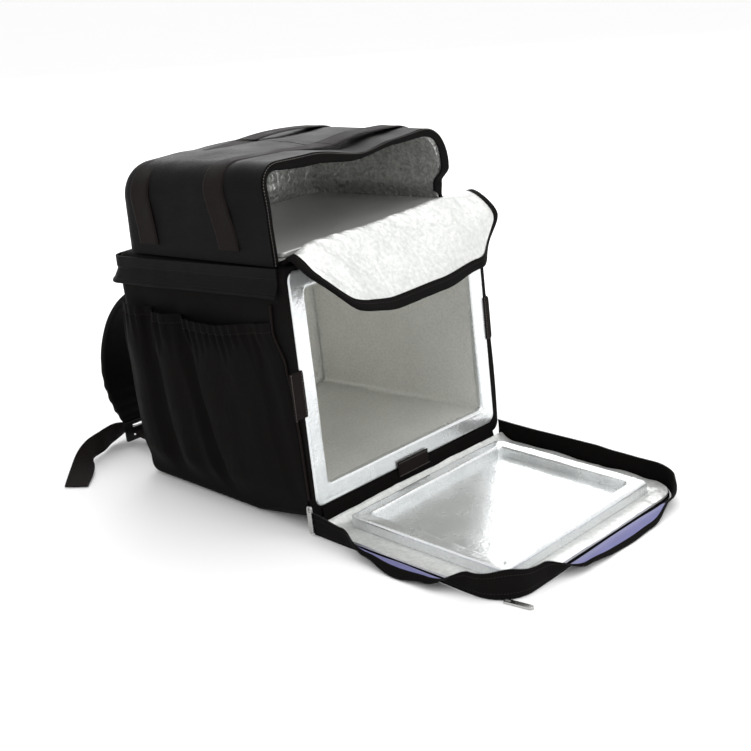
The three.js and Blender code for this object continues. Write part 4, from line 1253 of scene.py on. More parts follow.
@dataclass(frozen=True)
class SilverBox:
    """The foil-covered foam box that carries the load."""

    depth: float = 380.0
    wall: float = 30.0
    back: float = 370.0
    corner: float = 15.0
    mouth_corner: float = 8.0
    lip: float = 4.0
    puff: float = 1.6
    face_puff: float = 0.45
    corner_crease: float = 2.6
    corner_reach: float = 45.0
    seam_rise: float = 0.014

    def ring(self, depth: float, inset: float) -> np.ndarray:
        """One ring of the box.

        Args:
            depth: Its depth.
            inset: How far inside the outer face.

        Returns:
            Bag points of a rounded rectangle.
        """
        half = BOX_HALF - inset
        corner = self.corner - inset * (self.corner - self.mouth_corner) / self.wall
        corner = max(corner, self.mouth_corner)
        flat = outline(-half, half, BASE_PAD + inset, BOX_HEAD - inset, corner)
        return np.insert(flat, 1, depth, axis=1)

    def build(self) -> None:
        """Builds the box: its outside, its rounded rim, its walls and its back wall, in rings.

        The rim and the walls puff between their edges by noise, with creases at the mouth's
        corners, where the foil is folded, and a raised seam around the back wall.
        """
        turn = np.linspace(0.0, math.pi / 2, 6)
        outside = [(d, 0.0) for d in np.linspace(self.depth, self.lip, 6)]
        outside += [(self.lip * (1 - math.sin(a)), self.lip * (1 - math.cos(a))) for a in turn[1:]]
        face = [(0.0, inset) for inset in np.linspace(self.lip, self.wall - self.lip, 12)[1:]]
        inside = [
            (self.lip * (1 - math.cos(a)), self.wall - self.lip * (1 - math.sin(a)))
            for a in turn[1:]
        ]
        walls = [(d, self.wall) for d in np.linspace(self.lip, self.back, 60)[1:]]
        steps = outside + face + inside + walls
        rings = np.stack([self.ring(depth, inset) for depth, inset in steps])
        grid = np.concatenate([rings, shrunk(rings[-1], np.linspace(1.0, 0.02, 26)[1:])])
        square = grid_normals(grid, wrapped=True)
        x, y, z = np.moveaxis(grid, -1, 0)
        past = np.arange(len(grid))[:, None] >= len(outside)
        wide = BOX_HALF - self.wall
        middle, tall = (BOX_HEAD + BASE_PAD) / 2, (BOX_HEAD - BASE_PAD) / 2 - self.wall
        corner = bump(np.abs(x) - wide, self.corner_reach)
        corner = corner * bump(np.abs(z - middle) - tall, self.corner_reach)
        near = bump(y, self.corner_reach)
        depth = self.puff * (noise(grid, 85.0, 31) + 0.35 * creases(grid, 34.0, 32))
        depth += self.corner_crease * corner * near * creases(grid, 22.0, 33)
        first_wall = len(outside) + len(face) + len(inside)
        inner = np.arange(len(grid))[:, None] >= first_wall
        amount = np.where(inner, depth, self.face_puff * np.abs(depth)) * past
        towards = np.where(inner[..., None], square, np.array([0.0, 1.0, 0.0]))
        grid = grid + amount[..., None] * towards
        kinds = np.zeros(len(grid) - 1, int)
        kinds[first_wall:] = 1
        row = len(steps) - 2
        grid[row] = mix(grid[row], grid[row].mean(axis=0), self.seam_rise)
        kinds[row] = 2
        box = rings_mesh("silver_box", lean(grid), [FOIL, CABIN_FOIL, FLAP_CLOTH], kinds)
        place(box, "foil", "liner_box")


@dataclass(frozen=True)
class Skirt:
    """The loose cloth skirt around the shell's head."""

    height: float = 42.0
    flare: float = 10.0
    front: float = 12.0
    drop: float = 6.0
    end_slack: float = 0.6
    corner: float = 24.0
    fold: float = 0.4
    cut_length: float = 1190.0

    def grid(self, columns: int = 420, rows: int = 34) -> np.ndarray:
        """The skirt's inner face.

        Args:
            columns: Steps along it.
            rows: Steps down it.

        Returns:
            Bag points: a path around three sides that stands off further towards the lower edge,
            and waves that grow with the square of the height below its upper edge.
        """
        u, v = shares(columns + 1, rows + 1)
        middle = mix(self.end_slack, 1.0, np.sin(math.pi * u))
        length = DEPTH - self.front
        x0, y0 = around(u + 0 * v, SHELL_HALF, length, self.corner, 0.0)
        waves = noise(np.stack([x0, y0, 0 * x0], -1), 55.0, 41)
        out = GAP + self.flare * np.maximum(2 * v - 1, 0.0) * middle + 1.6 * v**2 * (1.0 + waves)
        x, y = around(u, SHELL_HALF, length, self.corner, out)
        sag = 1.2 * v * noise(np.stack([x0, y0, 0 * x0], -1), 120.0, 42)
        z = SHELL_HEAD - self.drop * (y / length) - self.height * v + sag
        return np.stack([x, y + self.front, z], -1)

    def build(self) -> None:
        """Builds the skirt: its upper band is folded double, and its lower hem is rolled."""
        grid = self.grid()
        v = np.linspace(0.0, 1.0, grid.shape[0])[:, None] + 0 * grid[..., 0]
        double = 1.1 * (1.0 - smoothstep(v, self.fold, self.fold + 0.04))
        hem = 1.4 * np.sqrt(np.maximum(1 - ((v - 0.93) / 0.07) ** 2, 0.0))
        thick = (CLOTH + double + hem) * MM
        skirt = cloth("skirt_cloth", lean(grid), 0.0, thick, [NYLON, HOOD_NYLON, NYLON])
        place(skirt, "webbing", "skirt_band")
        face = lean(grid)
        square = grid_normals(face)
        rows = [round((grid.shape[0] - 1) * share) for share in (0.36, 0.85)]
        lines = [seam(face, square, row, (thick[row] + 0.1 * MM)[:, None]) for row in rows]
        thread = place(stitches("skirt_stitches", lines, THREAD), "webbing")


@dataclass(frozen=True)
class SidePocket:
    """The gathered pocket over the whole left side."""

    height: float = 298.0
    bulge: float = 17.0
    gathers: int = 22
    gather_depth: float = 3.2
    fold_depth: float = 10.0
    side_seam: float = 24.0
    foot_seam: float = 16.0
    cloth: float = 1.6
    hem_seam: float = 0.953
    cut_width: float = 420.0
    cut_height: float = 300.0

    FOLDS = Table(
        ("hem", "foot", "width", "push"),
        (
            (0.06, 0.1, 0.05, 0.9), (0.17, 0.21, 0.035, -1.0), (0.27, 0.34, 0.05, 0.8),
            (0.39, 0.55, 0.03, -1.1), (0.53, 0.66, 0.08, 0.5), (0.72, 0.8, 0.05, 0.3),
            (0.86, 0.97, 0.03, -0.8),
        ),
    )

    def grid(self, columns: int = 320, rows: int = 140) -> np.ndarray:
        """The pocket's outer face.

        Args:
            columns: Steps from its back to its front edge.
            rows: Steps from its foot to its hem.

        Returns:
            Bag points: a belly that is sewn close at its foot and front edge, seven long folds
            that lean forwards, uneven gathers under the hem, and small creases.
        """
        u, v = np.broadcast_arrays(*shares(columns + 1, rows + 1))
        back = DEPTH - self.side_seam
        foot = shell_foot(mix(back, 0.0, u)) + self.foot_seam
        z = mix(foot, foot - self.foot_seam + self.height, v)
        depth = mix(back, piping_depth(z) + 2.0 + CLOTH, u)
        sewn = np.maximum(np.sin(math.pi * mix(0.2, 1.0, u)), 0.0) ** 0.7
        belly = self.bulge * mix(0.4, 1.0, np.maximum(np.sin(math.pi * v * 0.9), 0.0) ** 0.8)
        flat = np.stack([self.cut_width * u, self.cut_height * v, 0 * u], -1)
        drift = 0.012 * noise(flat, 60.0, 51)
        fold = sum(
            push * bump(u + drift - mix(low, high, v), width)
            for high, low, width, push in self.FOLDS.rows
        )
        phase = 2 * math.pi * (self.gathers * u + 0.45 * noise(flat * (1, 0, 0), 55.0, 52))
        reach = 0.76 + 0.13 * noise(flat * (1, 0, 0), 26.0, 53)
        below = np.clip((v - reach) / (0.94 - reach), 0.0, 1.0) ** 0.9
        sharp = np.sign(np.cos(phase)) * np.abs(np.cos(phase)) ** 0.7
        uneven = 0.75 + 0.5 * noise(flat * (1, 0, 0), 33.0, 54)
        gather = self.gather_depth * below * sharp * uneven
        small = 0.8 * creases(flat * (1.0, 0.45, 1.0), 42.0, 55) + 0.8 * noise(flat, 30.0, 56)
        hem = smoothstep(v, 0.945, 0.955)
        band = 1.2 * hem - 0.6 * bump(v - 0.947, 0.006)
        out = belly + self.fold_depth * fold + gather * (1 - 0.45 * hem) + small * (1 - hem)
        out = out * sewn
        bulged = np.maximum(out + band * sewn, 0.0) * smoothstep(v, 0.0, 0.18)
        x = -SHELL_HALF - GAP - CLOTH - bulged
        return np.stack([x, depth, z], -1)

    def build(self) -> None:
        """Builds the pocket with its stitched hem."""
        grid = lean(self.grid())
        pocket = cloth("side_pocket_cloth", grid, 0.0, -self.cloth * MM, [NYLON])
        place(pocket, "nylon", "side_pocket")
        row = round(self.hem_seam * (grid.shape[0] - 1))
        line = seam(grid, grid_normals(grid), row, 0.15 * MM)
        thread = place(stitches("pocket_stitches", [line], THREAD), "nylon")


@dataclass(frozen=True)
class Hood:
    """The soft upper compartment with its foil lining, floor board, binding and handles."""

    wall: float = 5.0
    round: float = 30.0
    lining_inset: float = 6.6
    lining_wall: float = 2.0
    lining_back: float = 14.0
    binding: float = 22.0
    binding_length: float = 860.0
    binding_share: float = 0.62
    pad: float = 8.0
    pad_play: float = 3.0
    pad_gap: float = 16.0
    pad_slack: float = 6.0
    webbing: float = 45.0
    crumple: tuple[float, float, float] = (4.4, 2.0, 3.0)
    wall_fold: float = 7.0
    handle: float = 1.9
    handle_length: float = 590.0
    handle_rise: float = 8.0
    handle_middle: float = 0.57
    handle_spread: float = 0.08

    BINDING = Table(
        ("along", "width"),
        ((0.0, 0.35), (0.25, 0.4), (0.4, 0.8), (0.55, 0.35), (0.7, 0.6), (0.8, 0.95), (1.0, 1.0)),
    )
    # Name of each handle, and its depth at the foot, the shoulder and the top, as shares
    HANDLES = (("front", 0.3, 0.38, 0.3), ("rear", 0.81, 0.85, 0.78))
    MIDDLE = np.array([-10.0, 190.0, 440.0])
    SEWN = 1.0 / 24.0

    def rings(self, back: float, inset: float, round_: float, steps: int = 46) -> np.ndarray:
        """Rings of one face of a layer from its mouth to its back, closed towards its middle.

        Args:
            back: Depth of its back.
            inset: How far inside the outer face.
            round_: Radius of its back edge.
            steps: Rings along the depth.

        Returns:
            Bag points.
        """
        depth = np.linspace(HOOD.mouth, back - round_, steps)
        if round_ > 0.0:
            turn = np.sin(np.linspace(0.0, 1.0, 9)[1:] * math.pi / 2)
            depth = np.concatenate([depth, back - round_ + round_ * turn])
        grid = np.stack([
            HOOD.ring(float(d), inset + float(draw_in(d, back, round_))) for d in depth
        ])
        return np.concatenate([grid, shrunk(grid[-1], np.linspace(0.96, 0.03, 22))])

    def build(self) -> None:
        """Builds the shell, the lining, the board, the binding and both handles."""
        self.shell()
        self.lining()
        self.board()
        self.bind()
        for name, foot, shoulder, top in self.HANDLES:
            self.carry(name, foot, shoulder, top)

    def shell(self) -> None:
        """The black cloth shell, its outer face moved by its slack along its normals."""
        outer = self.rings(HOOD.depth, 0.0, self.round)[::-1]
        square = grid_normals(outer, wrapped=True)
        outer = outer + hood_slack(outer)[..., None] * square
        inner = self.rings(HOOD.depth - self.wall, self.wall, self.round - self.wall)
        piece = rings_mesh("hood_cloth", lean(np.concatenate([outer, inner])), [HOOD_NYLON])
        place(piece, "nylon", "hood_shell")

    def lining(self) -> None:
        """The loose foil lining, crumpled towards the compartment's middle.

        Coarse slanted creases, finer ones and the finest, which fade in towards the left, add up,
        and one fold stands on the left wall.
        """
        back = HOOD.depth - self.lining_inset
        outer = self.rings(back, self.lining_inset, self.round - self.wall)[::-1]
        inner = self.rings(back - self.lining_back, self.lining_inset + self.lining_wall, 0.0, 90)
        x, y, z = np.moveaxis(inner, -1, 0)
        loose = smoothstep(z, HOOD.foot + 12.0, HOOD.foot + 40.0) * smoothstep(y, 18.0, 45.0)
        slanted = inner * (1.0, 0.8, 0.5) + z[..., None] * (0.4, 0.0, 0.0)
        coarse, fine, finest = self.crumple
        push = coarse * (1.0 + creases(slanted, 50.0, 61))
        push = push + fine * (1.0 + creases(inner, 22.0, 62))
        push += finest * (1.0 + creases(inner, 15.0, 67)) * smoothstep(-x, 20.0, 110.0)
        fold = bump(y - 290.0, 35.0) * (x < -150.0) * smoothstep(z, 420.0, 460.0)
        push = push + self.wall_fold * fold
        inner = inner + (loose * push)[..., None] * unit(self.MIDDLE - inner)
        piece = rings_mesh("hood_foil", lean(np.concatenate([outer, inner])), [LINING_FOIL])
        place(piece, "lining", "hood_lining")

    def board(self) -> None:
        """The loose foil-covered board on the floor, its top gently waved."""
        half = HOOD.half - self.lining_inset - self.lining_wall
        low, high = -half + self.pad_play + self.pad_slack, half - self.pad_gap
        near = HOOD.mouth + self.pad_play
        far = HOOD.depth - self.lining_inset - self.lining_back - self.pad_play - self.pad_slack
        foot = HOOD.foot + self.lining_inset + self.lining_wall + GAP
        grid = slab_rings(
            lambda inset: outline(low + inset, high - inset, near + inset, far - inset, 6.0),
            foot, foot + self.pad, 2.5, 18,
        )
        waves = 0.8 * noise(grid, 60.0, 63) + 0.5 * creases(grid, 40.0, 64)
        grid[..., 2] += waves * smoothstep(grid[..., 2], foot + 5.0, foot + 7.5)
        piece = rings_mesh("hood_floor_board", lean(grid), [BOARD_FOIL])
        place(piece, "lining", "hood_floor_pad")

    def bind(self) -> None:
        """The flat binding around the mouth, turned in from its rim, with its line of stitches."""
        u = np.linspace(0.0, 1.0 - self.SEWN, 360)[None, :]
        v = np.linspace(-0.02, 1.0, 9)[:, None]
        width = self.binding * self.BINDING.read("width", u)
        grid = HOOD.point(u + 0 * v, 0.0, v * width, v * width)
        ripple = noise(grid, 34.0, 65)
        grid[..., 1] -= 3 * GAP + 0.5 * (1.0 + ripple)
        grid[..., 2] += 0.9 * noise(grid, 48.0, 66) * smoothstep(grid[..., 2], 470.0, 490.0)
        face = lean(grid)
        rise = CLOTH * rounded(2 * np.clip(v, 0, 1) - 1, 8, 0.05) + 0 * u
        piece = cloth("hood_binding_tape", face, 0.0, -rise * MM, [NYLON])
        line = seam(face, -grid_normals(face), 1, (CLOTH + 0.1) * MM)
        thread = place(stitches("hood_binding_stitches", [line], PALE_THREAD), "nylon")
        place(piece, "nylon", "hood_binding")

    def carry(self, name: str, foot: float, shoulder: float, top: float) -> None:
        """One webbing handle over the compartment, slack over its top.

        Args:
            name: Which handle.
            foot: Depth of its middle at its left foot, as a share of the depth.
            shoulder: The same at the left shoulder.
            top: The same on the top.
        """
        u, v = shares(300, 19)
        along = mix(self.SEWN, 1.0 - self.SEWN, u) + 0 * v
        middle = mix(mix(foot, shoulder, smoothstep(along, 0.0, 0.3)), top,
                     smoothstep(along, 0.3, 0.5))
        rim = HOOD.mouth + HOOD.depth * HOOD_RIM.read("set_back", along)
        depth = HOOD.depth * middle + (v - 0.5) * self.webbing
        grid = HOOD.point(along, (depth - rim) / (HOOD.depth - rim), -0.9)
        free = bump(along - self.handle_middle, self.handle_spread)
        grid = grid + (hood_slack(grid) * (1.0 - free))[..., None] * grid_normals(grid)
        grid[..., 2] += self.handle_rise * free
        edge = rounded(2 * v - 1, 10, 0.08) + 0 * u
        face = lean(grid)
        piece = cloth(f"handle_webbing_{name}", face, 0.0, self.handle * MM * edge, [WEBBING])
        lines = [seam(face, grid_normals(face), row, 2.0 * MM) for row in (2, 16)]
        thread = place(stitches(f"handle_stitches_{name}", lines, THREAD), "webbing")
        place(piece, "webbing", f"handle_strap_{name}")


def slab_rings(
    shape: Callable[[float], np.ndarray], foot: float, head: float, edge: float, steps: int
) -> np.ndarray:
    """Rings of a flat slab with round edges.

    Args:
        shape: Gives the slab's outline in x and y at an inset.
        foot: Height of its lower face.
        head: Height of its upper face.
        edge: Radius of its edges.
        steps: Rings over its upper face.

    Returns:
        Rings from the middle of the lower face, round the edge, to the middle of the upper face.
    """
    turn = np.linspace(0.0, math.pi / 2, 5)
    plan = [(edge * (1 - math.sin(a)), foot + edge * (1 - math.cos(a))) for a in turn]
    plan += [(edge * (1 - math.cos(a)), head - edge * (1 - math.sin(a))) for a in turn]
    rings = np.stack([np.insert(shape(inset), 2, z, axis=1) for inset, z in plan])
    below = shrunk(rings[0], np.linspace(0.02, 0.9, 5))
    above = shrunk(rings[-1], np.linspace(1.0, 0.02, steps + 1)[1:])
    return np.concatenate([below, rings, above])


@dataclass(frozen=True)
class Flap:
    """The upper compartment's front flap, folded out, with its binding, in millimetres."""

    rim_puff: float = 0.9
    rim_reach: float = 14.0
    wave: float = 1.3
    crease: float = 2.2
    fine_crease: float = 0.6
    most: float = 2.6
    tuck: float = 4.0
    stretch: float = 0.35

    def build(self) -> None:
        """Builds the flap and its binding."""
        self.panel()
        self.bind()

    def panel(self) -> None:
        """The padded panel: white foil-faced cloth above, black cloth below, softly creased."""
        u, v = shares(300, 130)
        x = mix(-FLAP.width / 2, FLAP.width / 2, u) + 0 * v
        past = np.maximum(np.abs(x) - (FLAP.width / 2 - FLAP.corner), 0.0)
        cut = FLAP.corner - np.sqrt(np.maximum(FLAP.corner**2 - past**2, 0.0))
        down = v * (FLAP.length - cut)
        grid = FLAP.point(x, down)
        flat = np.stack([x, down, 0 * x], -1)
        rim = np.minimum(np.minimum(down, FLAP.length - cut - down),
                         FLAP.width / 2 - np.abs(x))
        inner = smoothstep(rim, 0.0, self.rim_reach)
        slant = self.stretch * (0.6 * x + 0.8 * down)
        slanted = np.stack([0.8 * x - 0.6 * down, slant, 0 * x], -1)
        waves = self.wave * noise(flat, 48.0, 72) + self.crease * creases(slanted, 46.0, 71)
        waves = waves + self.fine_crease * creases(flat, 20.0, 73)
        top = inner * (0.2 - np.clip(waves, -self.most, self.most))
        top = self.rim_puff * (1.0 - inner) + top + 0.5
        square = lean(FLAP.up(grid)) - lean(np.zeros(3))
        piece = cloth("flap_panel", lean(grid), top * MM, FLAP.thickness * MM,
                      [FLAP_CLOTH, NYLON, NYLON], normals=unit(square))
        place(piece, "flap", "front_flap")

    def bind(self) -> None:
        """The black binding around three sides, round in section."""
        u, v = shares(480, 9)
        out = mix(-self.tuck, FLAP.edge, v)
        x, y = around(u, FLAP.width / 2, FLAP.length, FLAP.corner, out)
        grid = FLAP.point(x, y)
        half = FLAP.thickness / 2 * rounded(v, 6, 0.02) + 0 * u
        ripple = 0.4 * noise(grid, 22.0, 74)
        square = unit(lean(FLAP.up(grid)) - lean(np.zeros(3)))
        middle = FLAP.thickness / 2
        piece = cloth("flap_binding_tape", lean(grid), (middle - half + ripple) * MM,
                      (middle + half) * MM, [NYLON], normals=square)
        place(piece, "nylon", "flap_binding")
        line = seam(lean(grid), -square, 3, (0.1 - ripple[3])[:, None] * MM)
        place(stitches("flap_binding_stitches", [line], THREAD), "nylon")


@dataclass(frozen=True)
class Door:
    """The door: its board, lining, foam tray, zip band and cloth hinge, in millimetres."""

    length: float = 352.0
    panel: float = 5.0
    corner: float = 50.0
    lining_thick: float = 1.6
    tray_rim: float = 24.0
    tray_height: float = 18.0
    tray_floor: float = 3.0
    tray_setback: float = 30.0
    tray_corner: float = 8.0
    tray_half: float = 177.0
    tray_length: float = 290.0
    band_height: float = 36.0
    band_foot: float = 1.0
    band_cloth: float = 1.8
    flop_reach: float = 0.78
    flop_rise: float = 0.34
    band_length_m: float = 1.14
    hinge_y: float = -197.731
    hinge_reach: float = 9.0
    hinge_overlap: float = 14.0
    hinge_cloth: float = 1.5
    hinge_cut: float = 34.0
    curl: float = 10.0

    BAND = Table(
        ("along", "foot", "head", "rise", "flop"),
        (
            (0.0, 0.03, 0.06, 0.95, 0.0), (0.06, 0.06, 0.15, 0.88, 0.05),
            (0.12, 0.1, 0.4, 0.7, 0.6), (0.18, 0.12, 0.5, 0.6, 1.0), (0.23, 0.12, 0.4, 0.7, 0.75),
            (0.29, 0.08, 0.0, 1.0, 0.1), (0.345, 0.06, -0.3, 1.04, 0.0),
            (0.4, 0.06, -0.1, 0.95, 0.1), (0.45, 0.08, 0.3, 0.6, 0.7), (0.51, 0.1, 0.5, 0.5, 1.0),
            (0.56, 0.1, 0.5, 0.5, 0.95), (0.61, 0.08, 0.3, 0.7, 0.35), (0.65, 0.05, 0.1, 0.9, 0.0),
            (0.76, 0.03, 0.04, 1.0, 0.0), (1.0, 0.03, 0.0, 1.0, 0.0),
        ),
    )
    # Coated parts of the band: rows up from its foot, and where they start and end along it
    COATED = ((12, 0.08, 0.4), (16, 0.4, 0.6))

    def build(self) -> None:
        """Builds every piece of the door."""
        panel = slab_rings(
            lambda inset: self.shape(SHELL_HALF - inset, GAP + inset, self.length - inset,
                                     self.corner - inset),
            0.0, self.panel, 1.5, 10,
        )
        place(self.made("door_board", panel, NYLON), "nylon", "door_panel")
        self.lining()
        self.tray()
        self.band()
        self.hinge()

    def shape(self, half: float, near: float, far: float, corner: float) -> np.ndarray:
        """The door's outline.

        Args:
            half: Half of its width.
            near: Distance of its near edge from the hinge.
            far: Distance of its far edge.
            corner: Radius of its far corners.

        Returns:
            Evenly spaced points in x and y about the hinge line.
        """
        turn = np.linspace(0.0, math.pi / 2, 12)
        x, y = half - corner, corner - far
        right = np.stack([x + corner * np.cos(turn), y - corner * np.sin(turn)], -1)
        left = np.stack([-x - corner * np.sin(turn), y - corner * np.cos(turn)], -1)
        path = np.concatenate([[(-half, -near), (half, -near)], right, left])
        return spread_evenly(path, 420)

    def off_tray(self, x: np.ndarray, y: np.ndarray) -> tuple[np.ndarray, np.ndarray]:
        """Distances from the tray's middle, across and along the door."""
        return np.abs(x), np.abs(y + self.tray_setback + self.tray_length / 2)

    def made(self, name: str, grid: np.ndarray, finish: Finish) -> bpy.types.Object:
        """Makes an object of rings in millimetres about the hinge line."""
        return rings_mesh(name, (grid + (0.0, self.hinge_y, 0.0)) * MM, [finish])

    def lining(self) -> None:
        """The foil-faced lining, puckered around the tray by noise and creases in its height."""
        near = self.hinge_reach
        foot = self.panel + GAP
        grid = slab_rings(
            lambda inset: self.shape(SHELL_HALF - CLOTH - inset, near + inset,
                                     self.length - CLOTH - inset, self.corner - CLOTH - inset),
            foot, foot + self.lining_thick, 0.7, 60,
        )
        x, y, z = np.moveaxis(grid, -1, 0)
        over = z > foot + self.lining_thick - 0.01
        across, along = self.off_tray(x, y)
        beside = np.maximum(across - self.tray_half, along - self.tray_length / 2)
        free = smoothstep(beside, 0.0, 12.0)
        rise = 1.5 * free * (0.7 + noise(grid, 42.0, 81) + 0.6 * creases(grid, 36.0, 82))
        grid[..., 2] += np.where(over, np.maximum(rise, 0.0), 0.0)
        seat = near + self.hinge_overlap + GAP
        grid[..., 2] += (self.hinge_cloth + GAP) * smoothstep(y, -seat - 8.0, -seat)
        grid[..., 2] += self.curl * smoothstep(y, -self.tray_setback + 2.0, -near) ** 1.5
        piece = place(self.made("door_foil_lining", grid, FLAP_CLOTH), "flap", "door_lining")

    def tray(self) -> None:
        """The foam tray: rounded rim, walls and floor whose foil puckers by noise and creases."""
        foot = self.panel + self.lining_thick + 2 * GAP
        top, edge = foot + self.tray_height, 5.0
        turn = np.linspace(0.0, math.pi / 2, 6)
        plan = [(0.0, z) for z in np.linspace(foot, top - edge, 5)]
        plan += [(edge * (1 - math.cos(a)), top - edge * (1 - math.sin(a))) for a in turn[1:]]
        plan += [(i, top) for i in np.linspace(edge, self.tray_rim - edge, 6)[1:]]
        plan += [(self.tray_rim - edge * (1 - math.sin(a)), top - edge * (1 - math.cos(a)))
                 for a in turn[1:]]
        walls = np.linspace(top - edge, foot + self.tray_floor, 5)[1:]
        plan += [(self.tray_rim, z) for z in walls]
        half, near = self.tray_half, -self.tray_setback
        far = near - self.tray_length
        flats = [outline(i - half, half - i, far + i, near - i, self.tray_corner) for i, _ in plan]
        rings = np.stack([np.insert(f, 2, z, axis=1) for f, (_, z) in zip(flats, plan)])
        closing = shrunk(rings[-1], np.linspace(1.0, 0.02, 40)[1:])
        grid = np.concatenate([shrunk(rings[0], (0.02, 0.5)), rings, closing])
        square = grid_normals(grid, wrapped=True)
        x, y, z = np.moveaxis(grid, -1, 0)
        across, along = self.off_tray(x, y)
        corner = bump(across - self.tray_half + self.tray_corner, 26.0)
        corner = corner * bump(along - self.tray_length / 2 + self.tray_corner, 26.0)
        pucker = 0.7 * noise(grid, 40.0, 83) + 0.6 * creases(grid, 24.0, 84)
        pucker += 1.2 * corner * creases(grid, 14.0, 85)
        inside = np.maximum(across / (self.tray_half - self.tray_rim),
                            along / (self.tray_length / 2 - self.tray_rim))
        calm = 1.0 - 0.8 * (1.0 - smoothstep(inside, 0.85, 1.0))
        amount = np.clip(pucker, -1.5, 1.5) * smoothstep(z, foot + 0.5, foot + 3.0) * calm
        grid = grid + amount[..., None] * square
        piece = self.made("door_foam_tray", grid, FOIL)
        place(piece, "foil", "door_tray")

    def band(self, columns: int = 700) -> None:
        """The zip band around three sides, with its teeth and two lines of stitches.

        It stands straight between foot and head, or it has flopped outwards as an arch: out with
        the power 0.8 of its share and up and down again with the sine of that. The table mixes
        the two along the band, and slow noise waves it.

        Args:
            columns: Points along it.
        """
        u, v = shares(columns, 21)
        foot = self.band_height * self.BAND.read("foot", u)
        head = self.band_height * self.BAND.read("head", u)
        rise = self.band_height * self.BAND.read("rise", u)
        flat_x, flat_y = around(u, SHELL_HALF, self.length, self.corner, 0.0)
        waves = noise(np.stack([flat_x, flat_y, 0 * flat_x], -1), 38.0, 86)
        flop = self.BAND.read("flop", u)
        lying = self.band_height * self.flop_reach * v**0.8
        arch = self.band_height * self.flop_rise * np.sin(math.pi * v**0.8) ** 0.8
        out = GAP + CLOTH + mix(mix(foot, head, v), lying, flop) + v * 1.5 * waves
        out += 1.5 * np.sin(math.pi * v)
        x, y = around(u, SHELL_HALF, self.length, self.corner, out)
        climb = mix(rise * v, arch, flop) * (1.0 + 0.02 * waves)
        grid = np.stack([x, self.hinge_y - y, self.band_foot + climb], -1)
        face = grid * MM
        coated = [
            (slice(0, rows), slice(round(start * (columns - 1)), round(end * (columns - 1))))
            for rows, start, end in self.COATED
        ]
        piece = cloth("door_zip_band", face, 0.0, -self.band_cloth * MM,
                      [NYLON, NYLON, NYLON, VIOLET], patches=coated)
        square = grid_normals(face)
        lines = [seam(face, square, row, 0.2 * MM) for row in (4, 16)]
        thread = place(stitches("band_stitches", lines, THREAD), "coated")
        head_line = (face[-1] - 0.9 * MM * square[-1], unit(face[-1] - face[-2]))
        teeth = place(stitches("zip_teeth", [head_line], PLASTIC, 3.0, 1.8, 3.2), "plastic")
        place(piece, "coated", "door_band")

    def hinge(self) -> None:
        """The cloth hinge: a cubic bend from the bag's front foot down onto the door."""
        top = lean(np.array([0.0, 0.6, BASE_PAD - GAP - 1.0])) / MM
        knee = lean(np.array([0.0, 0.6, float(floor_at(0.0))])) / MM
        knee[2] = self.panel + GAP
        lying = np.array([0.0, self.hinge_y - self.hinge_reach, knee[2]])
        end = lying - (0.0, self.hinge_overlap, 0.0)
        half = SHELL_HALF - 16.0
        u, v = shares(160, 40)
        path = cubic(top, knee, lying, end, v[..., None])
        grid = np.broadcast_to(path, (v.size, u.size, 3)).copy()
        grid[..., 0] = np.linspace(-half, half, u.size)
        piece = cloth("door_hinge_cloth", grid * MM, 0.0, -self.hinge_cloth * MM, [NYLON])
        place(piece, "nylon", "door_hinge_strip")


@dataclass(frozen=True)
class Tabs:
    """The stiff tabs on the box's front edge, with two lines of stitches, in millimetres."""

    length: float = 70.0
    width: float = 25.0
    seat: float = 12.0
    height: float = 178.0
    thickness: float = 1.9

    # Name, turn about the box's mouth, reach from its middle, step in front of it, and bend
    ROWS = (
        ("left", math.pi, 206.0, 0.4, 0.0), ("right", 0.0, 206.0, 0.4, math.radians(60.0)),
        ("bottom", math.pi / 2, 166.0, 2.3, 0.0),
    )

    def build(self) -> None:
        """Builds the three tabs flat over their seats; the right one bends back beyond its seat.
        """
        for name, turn, reach, step, bend in self.ROWS:
            u, v = shares(40, 70)
            past = np.maximum(self.width * u - self.seat, 0.0)
            x = reach + self.width * u - past + past * math.cos(bend) + 0 * v
            y = past * math.sin(bend) + 0 * v
            z = self.length * (v - 0.5) + 0 * u
            turned = np.stack([
                x * math.cos(turn) + z * math.sin(turn), y - step,
                z * math.cos(turn) - x * math.sin(turn) + BASE_PAD + self.height,
            ], -1)
            face = lean(turned)
            edge = rounded(2 * v - 1, 14, 0.1) + 0 * u
            piece = cloth(f"tab_{name}", face, 0.0, self.thickness * MM * edge, [WEBBING])
            place(piece, "webbing", f"hold_tab_{name}")
            square = grid_normals(face)
            lines = [seam(face, square, np.s_[:, column], 2.0 * MM) for column in (4, 36)]
            thread = place(stitches(f"tab_stitches_{name}", lines, PALE_THREAD), "webbing")


